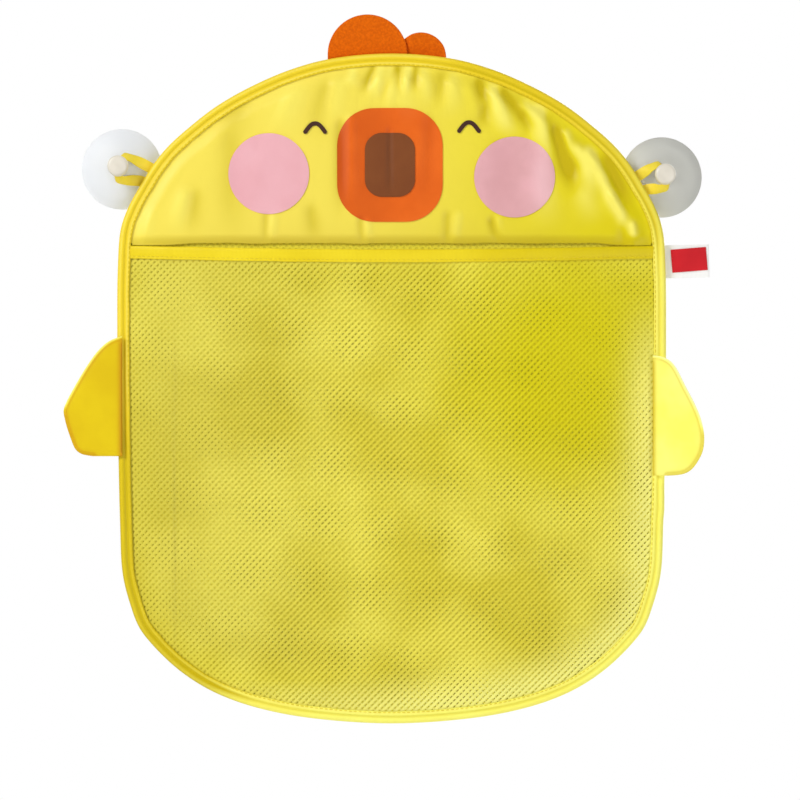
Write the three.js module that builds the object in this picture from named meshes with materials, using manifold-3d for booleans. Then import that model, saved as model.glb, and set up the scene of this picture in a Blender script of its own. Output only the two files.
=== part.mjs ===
// Chick-shaped bath toy organizer: a wire-rimmed mesh bag on two suction cups.
// Millimetres, +Z up. The bag faces -Y and the wall is the plane y = 0.
// The origin is the point on the wall midway between the two suction cups.

import * as THREE from 'three';
import Module from 'manifold-3d';
import { mergeVertices } from 'three/addons/utils/BufferGeometryUtils.js';

// Shared fits
const clearance = 0.3; // between pieces that are sewn, pressed or laid together
const overrun = 2; // how far a cutting tool runs past what it cuts

// Suction cups and their pegs
const cupStagger = 5.3; // the right cup is stuck this much lower than the left one
const cupDiameter = 52.5;
const lipWidth = 3.8; // flat ring that seals on the wall
const lipThickness = 0.9;
const cupHeight = 9; // wall to the top of the dome
const hollowDepth = 5;
const neckDiameter = 8;
const neckReach = 20; // wall to the front end of the neck
const pinDiameter = 3.8;
const pinLength = 8;
const knobDiameter = 13.5;
const knobLength = 5.7;
const domeShares = [[0.72, 0.52], [0.42, 0.88], [0.24, 1]]; // shares of radius and height
const knobShares = [[0.86, 0], [1, 0.22], [1, 0.72], [0.84, 0.93], [0.5, 1]];
const cupFacets = 30;
const pegFacets = 20;

// Bag outline, which is the outer edge of the bound rim
const bagWidth = 355.6;
const cupTuck = 3; // bag width less the distance between the two cup centres
const cupSpacing = bagWidth - cupTuck;
const bagHeight = 434;
const bagTop = 76.4; // rim top above the line between the cups
const bagDepth = 14; // wall to the middle plane of the bag
const outlineSteps = 72;
// Shares of half the width and of the height down from the top, down the right side
const outlineShares = [
  [0, 0], [0.219, 0.0076], [0.378, 0.0255], [0.536, 0.0544], [0.641, 0.0797],
  [0.718, 0.1037], [0.809, 0.1365], [0.864, 0.1634], [0.918, 0.1984], [0.962, 0.232],
  [0.9875, 0.2634], [0.998, 0.3226], [1, 0.4126], [0.9985, 0.5172], [0.99, 0.6963],
  [0.98, 0.7769], [0.9505, 0.8249], [0.9205, 0.8562], [0.877, 0.8802], [0.7835, 0.9175],
  [0.6817, 0.9459], [0.5687, 0.9666], [0.423, 0.9832], [0.248, 0.9942],
];

// Edge binding, a folded tape that holds the wire in its fold and the sheets in its legs
const bindingWidth = 8.1;
const tapeThickness = 0.7;
const foldRadius = 2.85; // outside of the round fold
const legSpread = 5.3; // outside to outside of the two legs
const foldFacets = 6;

// Sprung wire hoop and the sleeve that joins its ends
const wireDiameter = 2.2;
const wireGap = 1; // between the wire ends, inside the sleeve
const wireSteps = 72;
const wireSides = 6;
const sleeveLength = 12;
const sleeveWall = 0.4;
const sleeveSteps = 4;
const sleeveSides = 10;

// Sheets
const sheetThickness = 0.8; // mesh and head fabric
const seamSpare = 0.6; // flat strip of sheet that shows inside the binding

// Head panel
const headBottom = 123.1; // rim top down to the lower edge of the head
const headCrown = 2.4; // how far the head stands out past its seams
const headTurn = 9; // height over which its lower edge curls back
const headRows = 7;
const columnsPerStep = 2;
const puckerDepth = 1.1;
const puckerReach = 36; // how far the puckers run in from the seam
const puckerFan = 118; // puckers spread from a point this far above the rim
const puckerPitch = 7.6; // degrees between puckers
const puckerRise = 9; // distance over which the head rises from its seam

// Printed films of the face, laid on the head
const filmThickness = 0.3;
const cheekDiameter = 52.2;
const cheekReach = 79.4; // middle of the face to a cheek centre
const cheekDrops = { left: 78.3, right: 80.5 }; // rim top down to the cheek centre
const beakWidth = 68.2;
const beakHeight = 73.5;
const beakCorner = 24;
const beakDrop = 72.7; // rim top down to the beak centre
const beakShift = -1.1; // the beak and mouth sit a little left of the middle
const mouthWidth = 32.3;
const mouthHeight = 41.3;
const mouthCorner = 11;
const eyeSpan = 17.5; // end to end of an eye
const eyeRise = 6.6; // height of its arch
const eyeStroke = 2.8;
const eyeReach = 49.8; // middle of the face to an eye centre
const eyeDrop = 52.1; // rim top down to the ends of the eyes
const filmRings = 4;
const filmPitch = 7; // longest step along a film's edge
const discPoints = 24;
const cornerPoints = 5;
const eyeSteps = 10;

// Pocket, the front mesh and the hem tape along its mouth
const mouthBow = 12; // how far the hem stands out at its middle
const pocketBelly = 17; // how far the mesh stands out lower down
const bellyReach = 110; // distance from the rim over which the pocket fills
const bellyDrop = 120; // distance below the hem over which the belly grows
const hemTop = 124.7; // rim top down to the ends of the hem's top edge
const hemSag = 3.2;
const hemHeight = 8.2;
const hemTape = 0.5;
const hemSteps = 26;
const pocketRowShares = [0, 0.05, 0.14, 0.26, 0.4, 0.56, 0.73, 0.88, 1];

// Felt crest
const feltThickness = 2;
const crestTail = 6.8; // how far the felt runs down behind the binding
const largeLobeRadius = 25.9;
const largeLobeShift = -15.7; // centre of the large lobe from the middle
const smallLobeRadius = 16.5;
const smallLobeShift = 19;
const smallLobeDrop = 2.2; // rim top down to the centre of the small lobe
const crestSteps = 22;

// Wings
const wingWidth = 37.8;
const wingHeight = 77.8;
const wingThickness = 3;
const wingEdge = 1; // rounding of the wing's edge
const wingDrops = { left: 183, right: 195.4 }; // rim top down to the top of the wing
const wingTucks = { left: 3.5, right: 7.6 }; // root line in from the outer edge of the rim
const wingLeans = { left: 0, right: 36 }; // degrees forward, as worn
const wingShares = [
  [0, 0], [0.24, 0.05], [0.42, 0.13], [0.6, 0.25], [0.82, 0.43], [0.95, 0.55], [1, 0.62],
  [0.97, 0.71], [0.88, 0.85], [0.8, 0.94], [0.7, 0.98], [0.5, 1], [0, 1],
];

// Side label, a folded tape tab with a coloured patch
const labelReach = 28.7; // outer edge of the rim to the fold of the tab
const labelHeight = 21.4;
const labelDrop = 124.2; // rim top down to the top of the tab
const labelTape = 0.4;
const labelTail = 5.5; // how far it runs in behind the binding
const labelTilt = 1.2; // degrees that the outer end points up
const patchWidth = 23;
const patchHeight = 15;
const patchMargin = 1.6; // patch to the fold of the tab
const patchRise = 0.9; // above the middle of the tab
const patchTilt = 3.4; // degrees, relative to the tab

// Hanging loops of ribbon
const ribbonWidth = 7;
const ribbonThickness = 0.8;
const loopDrop = 4.85; // cup centre down to the middle of the loop's roots
const rootSpread = 12.2; // between the two roots, along the rim
const loopTail = 6.8; // how far each end runs in behind the binding
const loopHeight = 15.4; // middle to middle of the two strands at the neck
const loopDepth = 16; // wall to the middle of the ribbon round the neck
const loopSteps = 44;

// Degrees, colours and how each surface takes the light
const degree = Math.PI / 180;
const yellow = { color: '#ecd938', roughness: 0.6, metalness: 0 };
const tapeYellow = { color: '#f0dc2e', roughness: 0.55, metalness: 0 };
const meshYellow = { color: '#d6c93c', roughness: 0.7, metalness: 0 };
const wingYellow = { color: '#e6c81a', roughness: 0.6, metalness: 0 };
const felt = { color: '#df6408', roughness: 1, metalness: 0 };
const pink = { color: '#f0b6bd', roughness: 0.5, metalness: 0 };
const beakOrange = { color: '#e8691e', roughness: 0.5, metalness: 0 };
const mouthBrown = { color: '#7f4824', roughness: 0.5, metalness: 0 };
const eyeBrown = { color: '#45281d', roughness: 0.5, metalness: 0 };
const labelWhite = { color: '#f4f4f2', roughness: 0.8, metalness: 0 };
const patchRed = { color: '#cf2027', roughness: 0.7, metalness: 0 };
const softClear = { color: '#dfe1e0', roughness: 0.35, metalness: 0 };
const ivory = { color: '#f3f0e4', roughness: 0.35, metalness: 0 };
const steel = { color: '#8c9094', roughness: 0.35, metalness: 1 };

const sides = ['left', 'right'];
const signOf = { left: -1, right: 1 };

// Sizes that follow from the ones above
const foldCentre = foldRadius; // in from the outer edge of the rim
const boreRadius = wireDiameter / 2 + clearance;
const sleeveRadius = boreRadius + sleeveWall;
const sheetInset = foldCentre + sleeveRadius + clearance; // edge of the sheets, in from the rim
const seamInset = bindingWidth + seamSpare;
const sheetOut = legSpread / 2 - tapeThickness - clearance; // outer face of a sheet at its seam
const backPlane = foldRadius + clearance; // behind the binding, where the ends are sewn on
const faceTop = bagTop;

const wasm = await Module();
wasm.setup();

// Helpers for meshes

function named(name, geometry, look) {
  const mesh = new THREE.Mesh(geometry, new THREE.MeshStandardMaterial(look));
  mesh.name = name;
  return mesh;
}

// Builds one closed body from points and triangles, with its faces turned outwards.
function closedBody(points, triangles) {
  const corner = (index) => points[index];
  const solid = triangles.filter(([a, b, c]) => {
    const sameAB = corner(a).equals(corner(b));
    const sameBC = corner(b).equals(corner(c));
    return !sameAB && !sameBC && !corner(a).equals(corner(c));
  });
  let volume = 0;
  const across = new THREE.Vector3();
  for (const [a, b, c] of solid) {
    volume += across.crossVectors(corner(a), corner(b)).dot(corner(c));
  }
  const index = solid.flatMap(([a, b, c]) => (volume > 0 ? [a, b, c] : [a, c, b]));
  const geometry = new THREE.BufferGeometry().setFromPoints(points);
  geometry.setIndex(index);
  geometry.computeVertexNormals();
  return geometry;
}

// Sheet between a front and a back grid of points, closed along its four edges.
function gridBody(front, back) {
  const rows = front.length;
  const columns = front[0].length;
  const points = [...front.flat(), ...back.flat()];
  const at = (side, row, column) => side * rows * columns + row * columns + column;
  const triangles = [];
  const quad = (a, b, c, d) => triangles.push([a, b, c], [a, c, d]);
  for (let r = 0; r < rows - 1; r += 1) {
    for (let c = 0; c < columns - 1; c += 1) {
      quad(at(0, r, c), at(0, r, c + 1), at(0, r + 1, c + 1), at(0, r + 1, c));
      quad(at(1, r, c), at(1, r + 1, c), at(1, r + 1, c + 1), at(1, r, c + 1));
    }
    const last = columns - 1;
    quad(at(0, r, 0), at(0, r + 1, 0), at(1, r + 1, 0), at(1, r, 0));
    quad(at(0, r + 1, last), at(0, r, last), at(1, r, last), at(1, r + 1, last));
  }
  for (let c = 0; c < columns - 1; c += 1) {
    const last = rows - 1;
    quad(at(0, 0, c + 1), at(0, 0, c), at(1, 0, c), at(1, 0, c + 1));
    quad(at(0, last, c), at(0, last, c + 1), at(1, last, c + 1), at(1, last, c));
  }
  return closedBody(points, triangles);
}

// Sheet of even thickness behind a front grid.
function sheetBody(front, thickness) {
  const behind = (point) => new THREE.Vector3(point.x, point.y + thickness, point.z);
  return gridBody(front, front.map((row) => row.map(behind)));
}

// Section of [u, v] points carried along frames of { at, u, v }, as a ring or with flat ends.
function sweepBody(section, frames, closed) {
  const size = section.length;
  const points = frames.flatMap(({ at, u, v }) =>
    section.map(([a, b]) => at.clone().addScaledVector(u, a).addScaledVector(v, b)));
  const triangles = [];
  const spans = closed ? frames.length : frames.length - 1;
  for (let i = 0; i < spans; i += 1) {
    const here = i * size;
    const next = ((i + 1) % frames.length) * size;
    for (let j = 0; j < size; j += 1) {
      const k = (j + 1) % size;
      triangles.push([here + j, here + k, next + k], [here + j, next + k, next + j]);
    }
  }
  if (!closed) {
    const outline = section.map(([a, b]) => new THREE.Vector2(a, b));
    const last = (frames.length - 1) * size;
    for (const [a, b, c] of THREE.ShapeUtils.triangulateShape(outline, [])) {
      const turned = THREE.ShapeUtils.isClockWise(outline);
      const cap = turned ? [a, b, c] : [a, c, b];
      triangles.push(cap, [last + cap[0], last + cap[2], last + cap[1]]);
    }
  }
  return closedBody(points, triangles);
}

// Flat plate with an outline in X and Z, from its back plane forward.
function plateBody(outline, thickness, back) {
  const shape = new THREE.Shape(outline);
  const geometry = new THREE.ExtrudeGeometry(shape, { depth: thickness, bevelEnabled: false });
  geometry.rotateX(Math.PI / 2);
  geometry.translate(0, back, 0);
  return geometry;
}

function toSolid(geometry) {
  const bare = geometry.clone();
  bare.deleteAttribute('normal');
  bare.deleteAttribute('uv');
  const merged = mergeVertices(bare);
  return new wasm.Manifold(new wasm.Mesh({
    numProp: 3,
    vertProperties: new Float32Array(merged.attributes.position.array),
    triVerts: new Uint32Array(merged.index.array),
  }));
}

function fromSolid(solid) {
  const { vertProperties, triVerts } = solid.getMesh();
  const geometry = new THREE.BufferGeometry();
  geometry.setAttribute('position', new THREE.BufferAttribute(vertProperties, 3));
  geometry.setIndex(new THREE.BufferAttribute(triVerts, 1));
  geometry.computeVertexNormals();
  return geometry;
}

const clamp01 = (value) => Math.min(1, Math.max(0, value));
const smooth = (value) => clamp01(value) ** 2 * (3 - 2 * clamp01(value));
const shareRange = (count) => Array.from({ length: count + 1 }, (_, i) => i / count);

// Outline of the bag

// Points of the rim's outer edge, each with the direction into the bag.
function rimSamples() {
  const right = outlineShares.map(([across, down]) =>
    new THREE.Vector3(across * bagWidth / 2, 0, bagTop - down * bagHeight));
  const lowest = new THREE.Vector3(0, 0, bagTop - bagHeight);
  const left = right.slice(1).reverse().map((point) =>
    new THREE.Vector3(-point.x, 0, point.z));
  const curve = new THREE.CatmullRomCurve3([...right, lowest, ...left], true, 'centripetal');
  return Array.from({ length: outlineSteps }, (_, i) => {
    const at = curve.getPoint(i / outlineSteps);
    const along = curve.getTangent(i / outlineSteps);
    return { at, inward: new THREE.Vector3(along.z, 0, -along.x) };
  });
}

const rim = rimSamples();

// Closed line at a given inset from the outer edge.
const insetLoop = (inset) => rim.map(({ at, inward }) => at.clone().addScaledVector(inward, inset));

// Distance from a point to the outer edge of the rim.
function edgeDistance(x, z) {
  const point = new THREE.Vector3(x, 0, z);
  const nearest = new THREE.Vector3();
  const line = new THREE.Line3();
  const reach = rim.map(({ at }, i) => {
    line.set(at, rim[(i + 1) % rim.length].at);
    return line.closestPointToPoint(point, true, nearest).distanceTo(point);
  });
  return Math.min(...reach);
}

// Half width of the closed line at a height, on the right side.
function halfWidthAt(loop, z) {
  const half = loop.slice(0, loop.length / 2 + 1);
  const below = half.findIndex((point) => point.z <= z);
  const [a, b] = [half[below - 1], half[below]];
  return THREE.MathUtils.mapLinear(z, a.z, b.z, a.x, b.x);
}

// Part of the closed line above or below a height, from the left to the right.
function arcOf(loop, z, above) {
  const reach = halfWidthAt(loop, z);
  const ordered = above
    ? [...loop.slice(loop.length / 2), ...loop.slice(0, loop.length / 2)]
    : [...loop].reverse();
  const kept = ordered.filter((point) => (above ? point.z > z : point.z < z));
  return [new THREE.Vector3(-reach, 0, z), ...kept, new THREE.Vector3(reach, 0, z)];
}

// The line with each of its spans cut into equal parts.
function refined(line, parts) {
  const cut = line.slice(1).flatMap((point, i) =>
    shareRange(parts).slice(1).map((share) => line[i].clone().lerp(point, share)));
  return [line[0], ...cut];
}

// Grid from a straight or sagging edge out to the seam and then to the edge of the sheet.
function fanGrid(edgeLine, seam, border, rowShares) {
  const inner = rowShares.map((share) =>
    seam.map((point, j) => edgeLine[j].clone().lerp(point, share)));
  return [...inner, border];
}

// Points along a mouth line, spaced as the matching arc is.
function edgeAlong(arc, heightAt) {
  const lengths = [0];
  for (let j = 1; j < arc.length; j += 1) {
    lengths.push(lengths[j - 1] + arc[j].distanceTo(arc[j - 1]));
  }
  const reach = arc[arc.length - 1].x;
  return lengths.map((length) => {
    const x = THREE.MathUtils.mapLinear(length, 0, lengths[arc.length - 1], -reach, reach);
    return new THREE.Vector3(x, 0, heightAt(x));
  });
}

// Rim: binding, wire and sleeve

function bindingSection() {
  const legOut = legSpread / 2;
  const legIn = legOut - tapeThickness;
  const foldIn = foldRadius - tapeThickness;
  const arc = (radius, turn) => shareRange(foldFacets).map((share) => {
    const angle = Math.PI * (1 / 2 + (turn ? 1 - share : share));
    return [foldCentre + radius * Math.cos(angle), radius * Math.sin(angle)];
  });
  const outside = [[bindingWidth, legOut], ...arc(foldRadius, false), [bindingWidth, -legOut]];
  const inside = [[bindingWidth, -legIn], ...arc(foldIn, true), [bindingWidth, legIn]];
  return [...outside, ...inside];
}

function edgeBinding() {
  const forward = new THREE.Vector3(0, -1, 0);
  const frames = rim.map(({ at, inward }) => ({ at, u: inward, v: forward }));
  return named('edge_binding', sweepBody(bindingSection(), frames, true), tapeYellow);
}

const hoop = new THREE.CatmullRomCurve3(insetLoop(foldCentre), true, 'centripetal');

// Part of the hoop's line between two distances from its lowest point.
function hoopLine(from, to, steps) {
  const around = hoop.getLength();
  const points = shareRange(steps).map((share) => {
    const along = (from + (to - from) * share) / around;
    return hoop.getPointAt((along + 1 / 2) % 1);
  });
  return new THREE.CatmullRomCurve3(points, false, 'centripetal');
}

function roundSection(radius, sideCount) {
  const points = Array.from({ length: sideCount }, (_, i) => {
    const angle = (i / sideCount) * Math.PI * 2;
    return new THREE.Vector2(radius * Math.cos(angle), radius * Math.sin(angle));
  });
  return new THREE.Shape(points);
}

function tubeBody(path, radius, steps, sideCount) {
  const options = { steps, extrudePath: path, bevelEnabled: false };
  return new THREE.ExtrudeGeometry(roundSection(radius, sideCount), options);
}

function frameWire() {
  const half = wireGap / 2;
  const line = hoopLine(half, hoop.getLength() - half, wireSteps * 2);
  return named('frame_wire', tubeBody(line, wireDiameter / 2, wireSteps, wireSides), steel);
}

function wireFerrule() {
  const tube = (reach, radius) => {
    const line = hoopLine(-reach, reach, sleeveSteps);
    return toSolid(tubeBody(line, radius, sleeveSteps, sleeveSides));
  };
  const outer = tube(sleeveLength / 2, sleeveRadius);
  const bore = tube(sleeveLength / 2 + overrun, boreRadius);
  return named('wire_ferrule', fromSolid(outer.subtract(bore)), steel);
}

// Back mesh, one sheet over the whole outline
function backMesh() {
  const outline = insetLoop(sheetInset).map((point) => new THREE.Vector2(point.x, point.z));
  return named('back_mesh', plateBody(outline, sheetThickness, sheetOut), meshYellow);
}

// Head panel and the films of the face

// How far the head's front face stands out past its seam plane.
function headRise(x, z) {
  const inside = edgeDistance(x, z) - seamInset;
  if (inside <= 0) {
    return 0;
  }
  const risen = smooth(inside / puckerRise);
  const curled = smooth((z - bagTop + headBottom) / headTurn);
  const spread = Math.atan2(x, bagTop + puckerFan - z) / degree;
  const wave = (1 + Math.cos((spread / puckerPitch) * Math.PI * 2)) / 2;
  const pucker = puckerDepth * wave * Math.exp(-inside / puckerReach);
  return risen * curled * (headCrown + pucker);
}

// Point on the head's front face, moved forward by a small height.
const onHead = (x, z, height) => new THREE.Vector3(x, -sheetOut - headRise(x, z) - height, z);

function headPanel() {
  const low = bagTop - headBottom;
  const border = refined(arcOf(insetLoop(sheetInset), low, true), columnsPerStep);
  const seam = refined(arcOf(insetLoop(seamInset), low, true), columnsPerStep);
  const edge = edgeAlong(seam, () => low);
  const rows = fanGrid(edge, seam, border, shareRange(headRows));
  const front = rows.map((row) => row.map((point) => onHead(point.x, point.z, 0)));
  return named('head_panel', sheetBody(front, sheetThickness), yellow);
}

// Film over a star-shaped outline around a centre, following the head.
function filmBody(centre, outline, height) {
  const placed = (point, share) => {
    const x = centre.x + (point.x - centre.x) * share;
    const z = centre.y + (point.y - centre.y) * share;
    return onHead(x, z, height);
  };
  const ringShares = shareRange(filmRings);
  const loop = [...outline, outline[0]];
  const front = ringShares.map((share) => loop.map((point) => placed(point, share)));
  return closedDisc(front, filmThickness);
}

// Disc from rings of points around one centre, with the seam of each ring shared.
function closedDisc(front, thickness) {
  const around = front[0].length - 1;
  const outerRings = front.slice(1).map((ring) => ring.slice(0, around));
  const behind = (point) => new THREE.Vector3(point.x, point.y + thickness, point.z);
  const faces = [front[0][0], ...outerRings.flat()];
  const points = [...faces, ...faces.map(behind)];
  const ringAt = (ring, j) => 1 + ring * around + (j % around);
  const triangles = [];
  const both = (a, b, c) => {
    triangles.push([a, b, c], [a + faces.length, c + faces.length, b + faces.length]);
  };
  for (let j = 0; j < around; j += 1) {
    both(0, ringAt(0, j), ringAt(0, j + 1));
    for (let ring = 0; ring < outerRings.length - 1; ring += 1) {
      both(ringAt(ring, j), ringAt(ring + 1, j), ringAt(ring + 1, j + 1));
      both(ringAt(ring, j), ringAt(ring + 1, j + 1), ringAt(ring, j + 1));
    }
    const [a, b] = [ringAt(outerRings.length - 1, j), ringAt(outerRings.length - 1, j + 1)];
    triangles.push([a, a + faces.length, b + faces.length], [a, b + faces.length, b]);
  }
  return closedBody(points, triangles);
}

function circleOutline(centre, radius) {
  return Array.from({ length: discPoints }, (_, i) => {
    const angle = (i / discPoints) * Math.PI * 2;
    const offset = new THREE.Vector2(Math.cos(angle), Math.sin(angle)).multiplyScalar(radius);
    return offset.add(centre);
  });
}

function roundedOutline(centre, width, height, corner) {
  const points = [];
  for (const [index, [across, up]] of [[1, 1], [-1, 1], [-1, -1], [1, -1]].entries()) {
    const middle = new THREE.Vector2(
      across * (width / 2 - corner),
      up * (height / 2 - corner),
    ).add(centre);
    for (const share of shareRange(cornerPoints)) {
      const angle = (index + share) * (Math.PI / 2);
      const reach = new THREE.Vector2(Math.cos(angle), Math.sin(angle));
      points.push(reach.multiplyScalar(corner).add(middle));
    }
  }
  return points.flatMap((point, i) => {
    const next = points[(i + 1) % points.length];
    const parts = Math.ceil(point.distanceTo(next) / filmPitch);
    return shareRange(parts).slice(0, parts).map((share) => point.clone().lerp(next, share));
  });
}

function cheekPatch(side) {
  const centre = new THREE.Vector2(signOf[side] * cheekReach, faceTop - cheekDrops[side]);
  const outline = circleOutline(centre, cheekDiameter / 2);
  const film = filmBody(centre, outline, clearance + filmThickness);
  return named(`${side}_cheek_patch`, film, pink);
}

function beakAndMouth() {
  const centre = new THREE.Vector2(beakShift, faceTop - beakDrop);
  const beak = roundedOutline(centre, beakWidth, beakHeight, beakCorner);
  const mouth = roundedOutline(centre, mouthWidth, mouthHeight, mouthCorner);
  const beakHeightOut = clearance + filmThickness;
  return [
    named('beak_patch', filmBody(centre, beak, beakHeightOut), beakOrange),
    named('mouth_patch', filmBody(centre, mouth, beakHeightOut * 2), mouthBrown),
  ];
}

// An eye is an arched stroke with round ends.
function eyePatch(side) {
  const centre = new THREE.Vector2(signOf[side] * eyeReach, faceTop - eyeDrop);
  const half = eyeStroke / 2;
  const reach = eyeSpan / 2 - half;
  const front = shareRange(eyeSteps).map((share) => {
    const across = share * 2 - 1;
    const x = centre.x + across * (reach + half);
    const z = centre.y + eyeRise * (1 - across * across);
    const slope = Math.atan2(-2 * across * eyeRise, reach + half);
    const past = Math.max(0, Math.abs(across) * (reach + half) - reach);
    const wide = Math.sqrt(Math.max(half ** 2 - past ** 2, (half / eyeSteps) ** 2));
    return [-1, 0, 1].map((k) => onHead(
      x - Math.sin(slope) * wide * k,
      z + Math.cos(slope) * wide * k,
      clearance + filmThickness,
    ));
  });
  return named(`${side}_eye_patch`, sheetBody(front, filmThickness), eyeBrown);
}

// Pocket and its hem

const hemHeightAt = (x) => {
  const reach = halfWidthAt(insetLoop(seamInset), bagTop - hemTop);
  return bagTop - hemTop - hemSag * (1 - (x / reach) ** 2);
};

// How far the pocket's front face stands out past its seam plane.
function pocketRise(x, z) {
  const inside = edgeDistance(x, z) - seamInset;
  const filled = 1 - (1 - clamp01(inside / bellyReach)) ** 2;
  const hemLow = bagTop - hemTop - hemSag - hemHeight;
  const belly = mouthBow + (pocketBelly - mouthBow) * smooth((hemLow - z) / bellyDrop);
  return inside > 0 ? filled * belly : 0;
}

const onPocket = (x, z) => new THREE.Vector3(x, -sheetOut - pocketRise(x, z), z);

function pocketMesh() {
  const tuck = hemTape + clearance; // the mesh ends just inside the fold of the hem
  const low = bagTop - hemTop - tuck;
  const border = arcOf(insetLoop(sheetInset), low, false);
  const seam = arcOf(insetLoop(seamInset), low, false);
  const edge = edgeAlong(seam, (x) => hemHeightAt(x) - tuck);
  edge[0].copy(seam[0]);
  edge[edge.length - 1].copy(seam[seam.length - 1]);
  const rows = fanGrid(edge, seam, border, pocketRowShares);
  const front = rows.map((row) => row.map((point) => onPocket(point.x, point.z)));
  return named('pocket_mesh', sheetBody(front, sheetThickness), meshYellow);
}

function pocketHem() {
  const reach = halfWidthAt(insetLoop(seamInset), bagTop - hemTop);
  const inner = sheetThickness / 2 + clearance * 2; // room for the curve of the mesh
  const outer = inner + hemTape;
  const section = [
    [0, -outer], [0, outer], [-hemHeight, outer], [-hemHeight, inner],
    [-hemTape, inner], [-hemTape, -inner], [-hemHeight, -inner], [-hemHeight, -outer],
  ];
  const middleAt = (x) => {
    const top = hemHeightAt(x);
    const out = onPocket(x, bagTop - hemTop);
    return new THREE.Vector3(x, out.y + sheetThickness / 2, top);
  };
  const up = new THREE.Vector3(0, 0, 1);
  const frames = shareRange(hemSteps).map((share) => {
    const x = (share * 2 - 1) * reach;
    const step = reach / hemSteps;
    const ahead = middleAt(Math.min(x + step, reach));
    const along = ahead.sub(middleAt(Math.max(x - step, -reach))).setZ(0).normalize();
    return { at: middleAt(x), u: up, v: new THREE.Vector3(along.y, -along.x, 0) };
  });
  return named('pocket_hem', sweepBody(section, frames, false), tapeYellow);
}

// Felt crest, two lobes sewn behind the binding

function lobeOutline(shift, drop, radius) {
  const centre = new THREE.Vector2(shift, bagTop - drop);
  const loop = insetLoop(crestTail);
  const rimAt = (x) => {
    const height = (share) => loop[share].z;
    const step = loop.findIndex((point, i) => point.x <= Math.abs(x)
      && loop[i + 1].x > Math.abs(x));
    const [a, b] = [loop[step].x, loop[step + 1].x];
    return THREE.MathUtils.mapLinear(Math.abs(x), a, b, height(step), height(step + 1));
  };
  const top = shareRange(crestSteps).map((share) => {
    const angle = share * Math.PI;
    return new THREE.Vector2(Math.cos(angle), Math.sin(angle)).multiplyScalar(radius).add(centre);
  });
  const foot = shareRange(outlineShares.length / 4).map((share) => {
    const x = shift - radius + 2 * radius * share;
    return new THREE.Vector2(x, rimAt(x));
  });
  return [...top, ...foot];
}

function crestLobes() {
  const large = lobeOutline(largeLobeShift, 0, largeLobeRadius);
  const small = lobeOutline(smallLobeShift, smallLobeDrop, smallLobeRadius);
  const largeBack = backPlane + feltThickness;
  const smallBack = largeBack + clearance + feltThickness;
  return [
    named('crest_large', plateBody(large, feltThickness, largeBack), felt),
    named('crest_small', plateBody(small, feltThickness, smallBack), felt),
  ];
}

// Wings, hinged where they are sewn on

function wing(side) {
  const sign = signOf[side];
  const outline = wingShares.map(([across, down]) => new THREE.Vector2(
    across * (wingWidth - wingEdge * 2),
    -down * (wingHeight - wingEdge * 2),
  ));
  const soft = new THREE.Shape(outline);
  const geometry = new THREE.ExtrudeGeometry(soft, {
    depth: wingThickness - wingEdge * 2,
    bevelSize: wingEdge,
    bevelThickness: wingEdge,
    bevelSegments: 2,
  });
  geometry.rotateX(Math.PI / 2);
  geometry.translate(wingEdge, -wingEdge, -wingEdge);
  if (sign < 0) {
    geometry.rotateZ(Math.PI);
    geometry.translate(0, -wingThickness, 0);
  }
  const mesh = named(`${side}_wing`, geometry, wingYellow);
  const top = bagTop - wingDrops[side];
  const root = halfWidthAt(insetLoop(wingTucks[side]), top - wingHeight / 2);
  mesh.position.set(sign * root, -backPlane, top);
  mesh.rotation.z = -sign * wingLeans[side] * degree;
  return mesh;
}

// Side label, a folded tab sewn behind the rim, and its coloured patch

function sideLabel() {
  const edge = halfWidthAt(rim.map(({ at }) => at), bagTop - labelDrop - labelHeight / 2);
  const layers = labelTape * 2 + clearance;
  const length = labelReach + labelTail;
  // Seen from above: two layers of tape joined at the outer fold
  const section = [
    [0, 0], [length, 0], [length, layers], [0, layers],
    [0, labelTape + clearance], [length - labelTape, labelTape + clearance],
    [length - labelTape, labelTape], [0, labelTape],
  ];
  const shape = new THREE.Shape(section.map(([a, b]) => new THREE.Vector2(a, b)));
  const tab = new THREE.ExtrudeGeometry(shape, { depth: labelHeight, bevelEnabled: false });
  tab.translate(0, 0, -labelHeight);
  const patch = new THREE.BoxGeometry(patchWidth, filmThickness, patchHeight);
  patch.rotateY(-patchTilt * degree);
  patch.translate(
    length - patchMargin - patchWidth / 2,
    -clearance - filmThickness / 2,
    patchRise - labelHeight / 2,
  );
  const group = new THREE.Group();
  group.position.set(edge - labelTail, backPlane, bagTop - labelDrop);
  group.rotation.y = -labelTilt * degree;
  group.add(named('side_label', tab, labelWhite), named('label_patch', patch, patchRed));
  return group;
}

// Hanging loops: a ribbon sewn flat behind the rim, turned edge-on round the neck of its cup

const cupAt = (side) => new THREE.Vector3(
  (signOf[side] * cupSpacing) / 2,
  0,
  (-signOf[side] * cupStagger) / 2,
);

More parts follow.
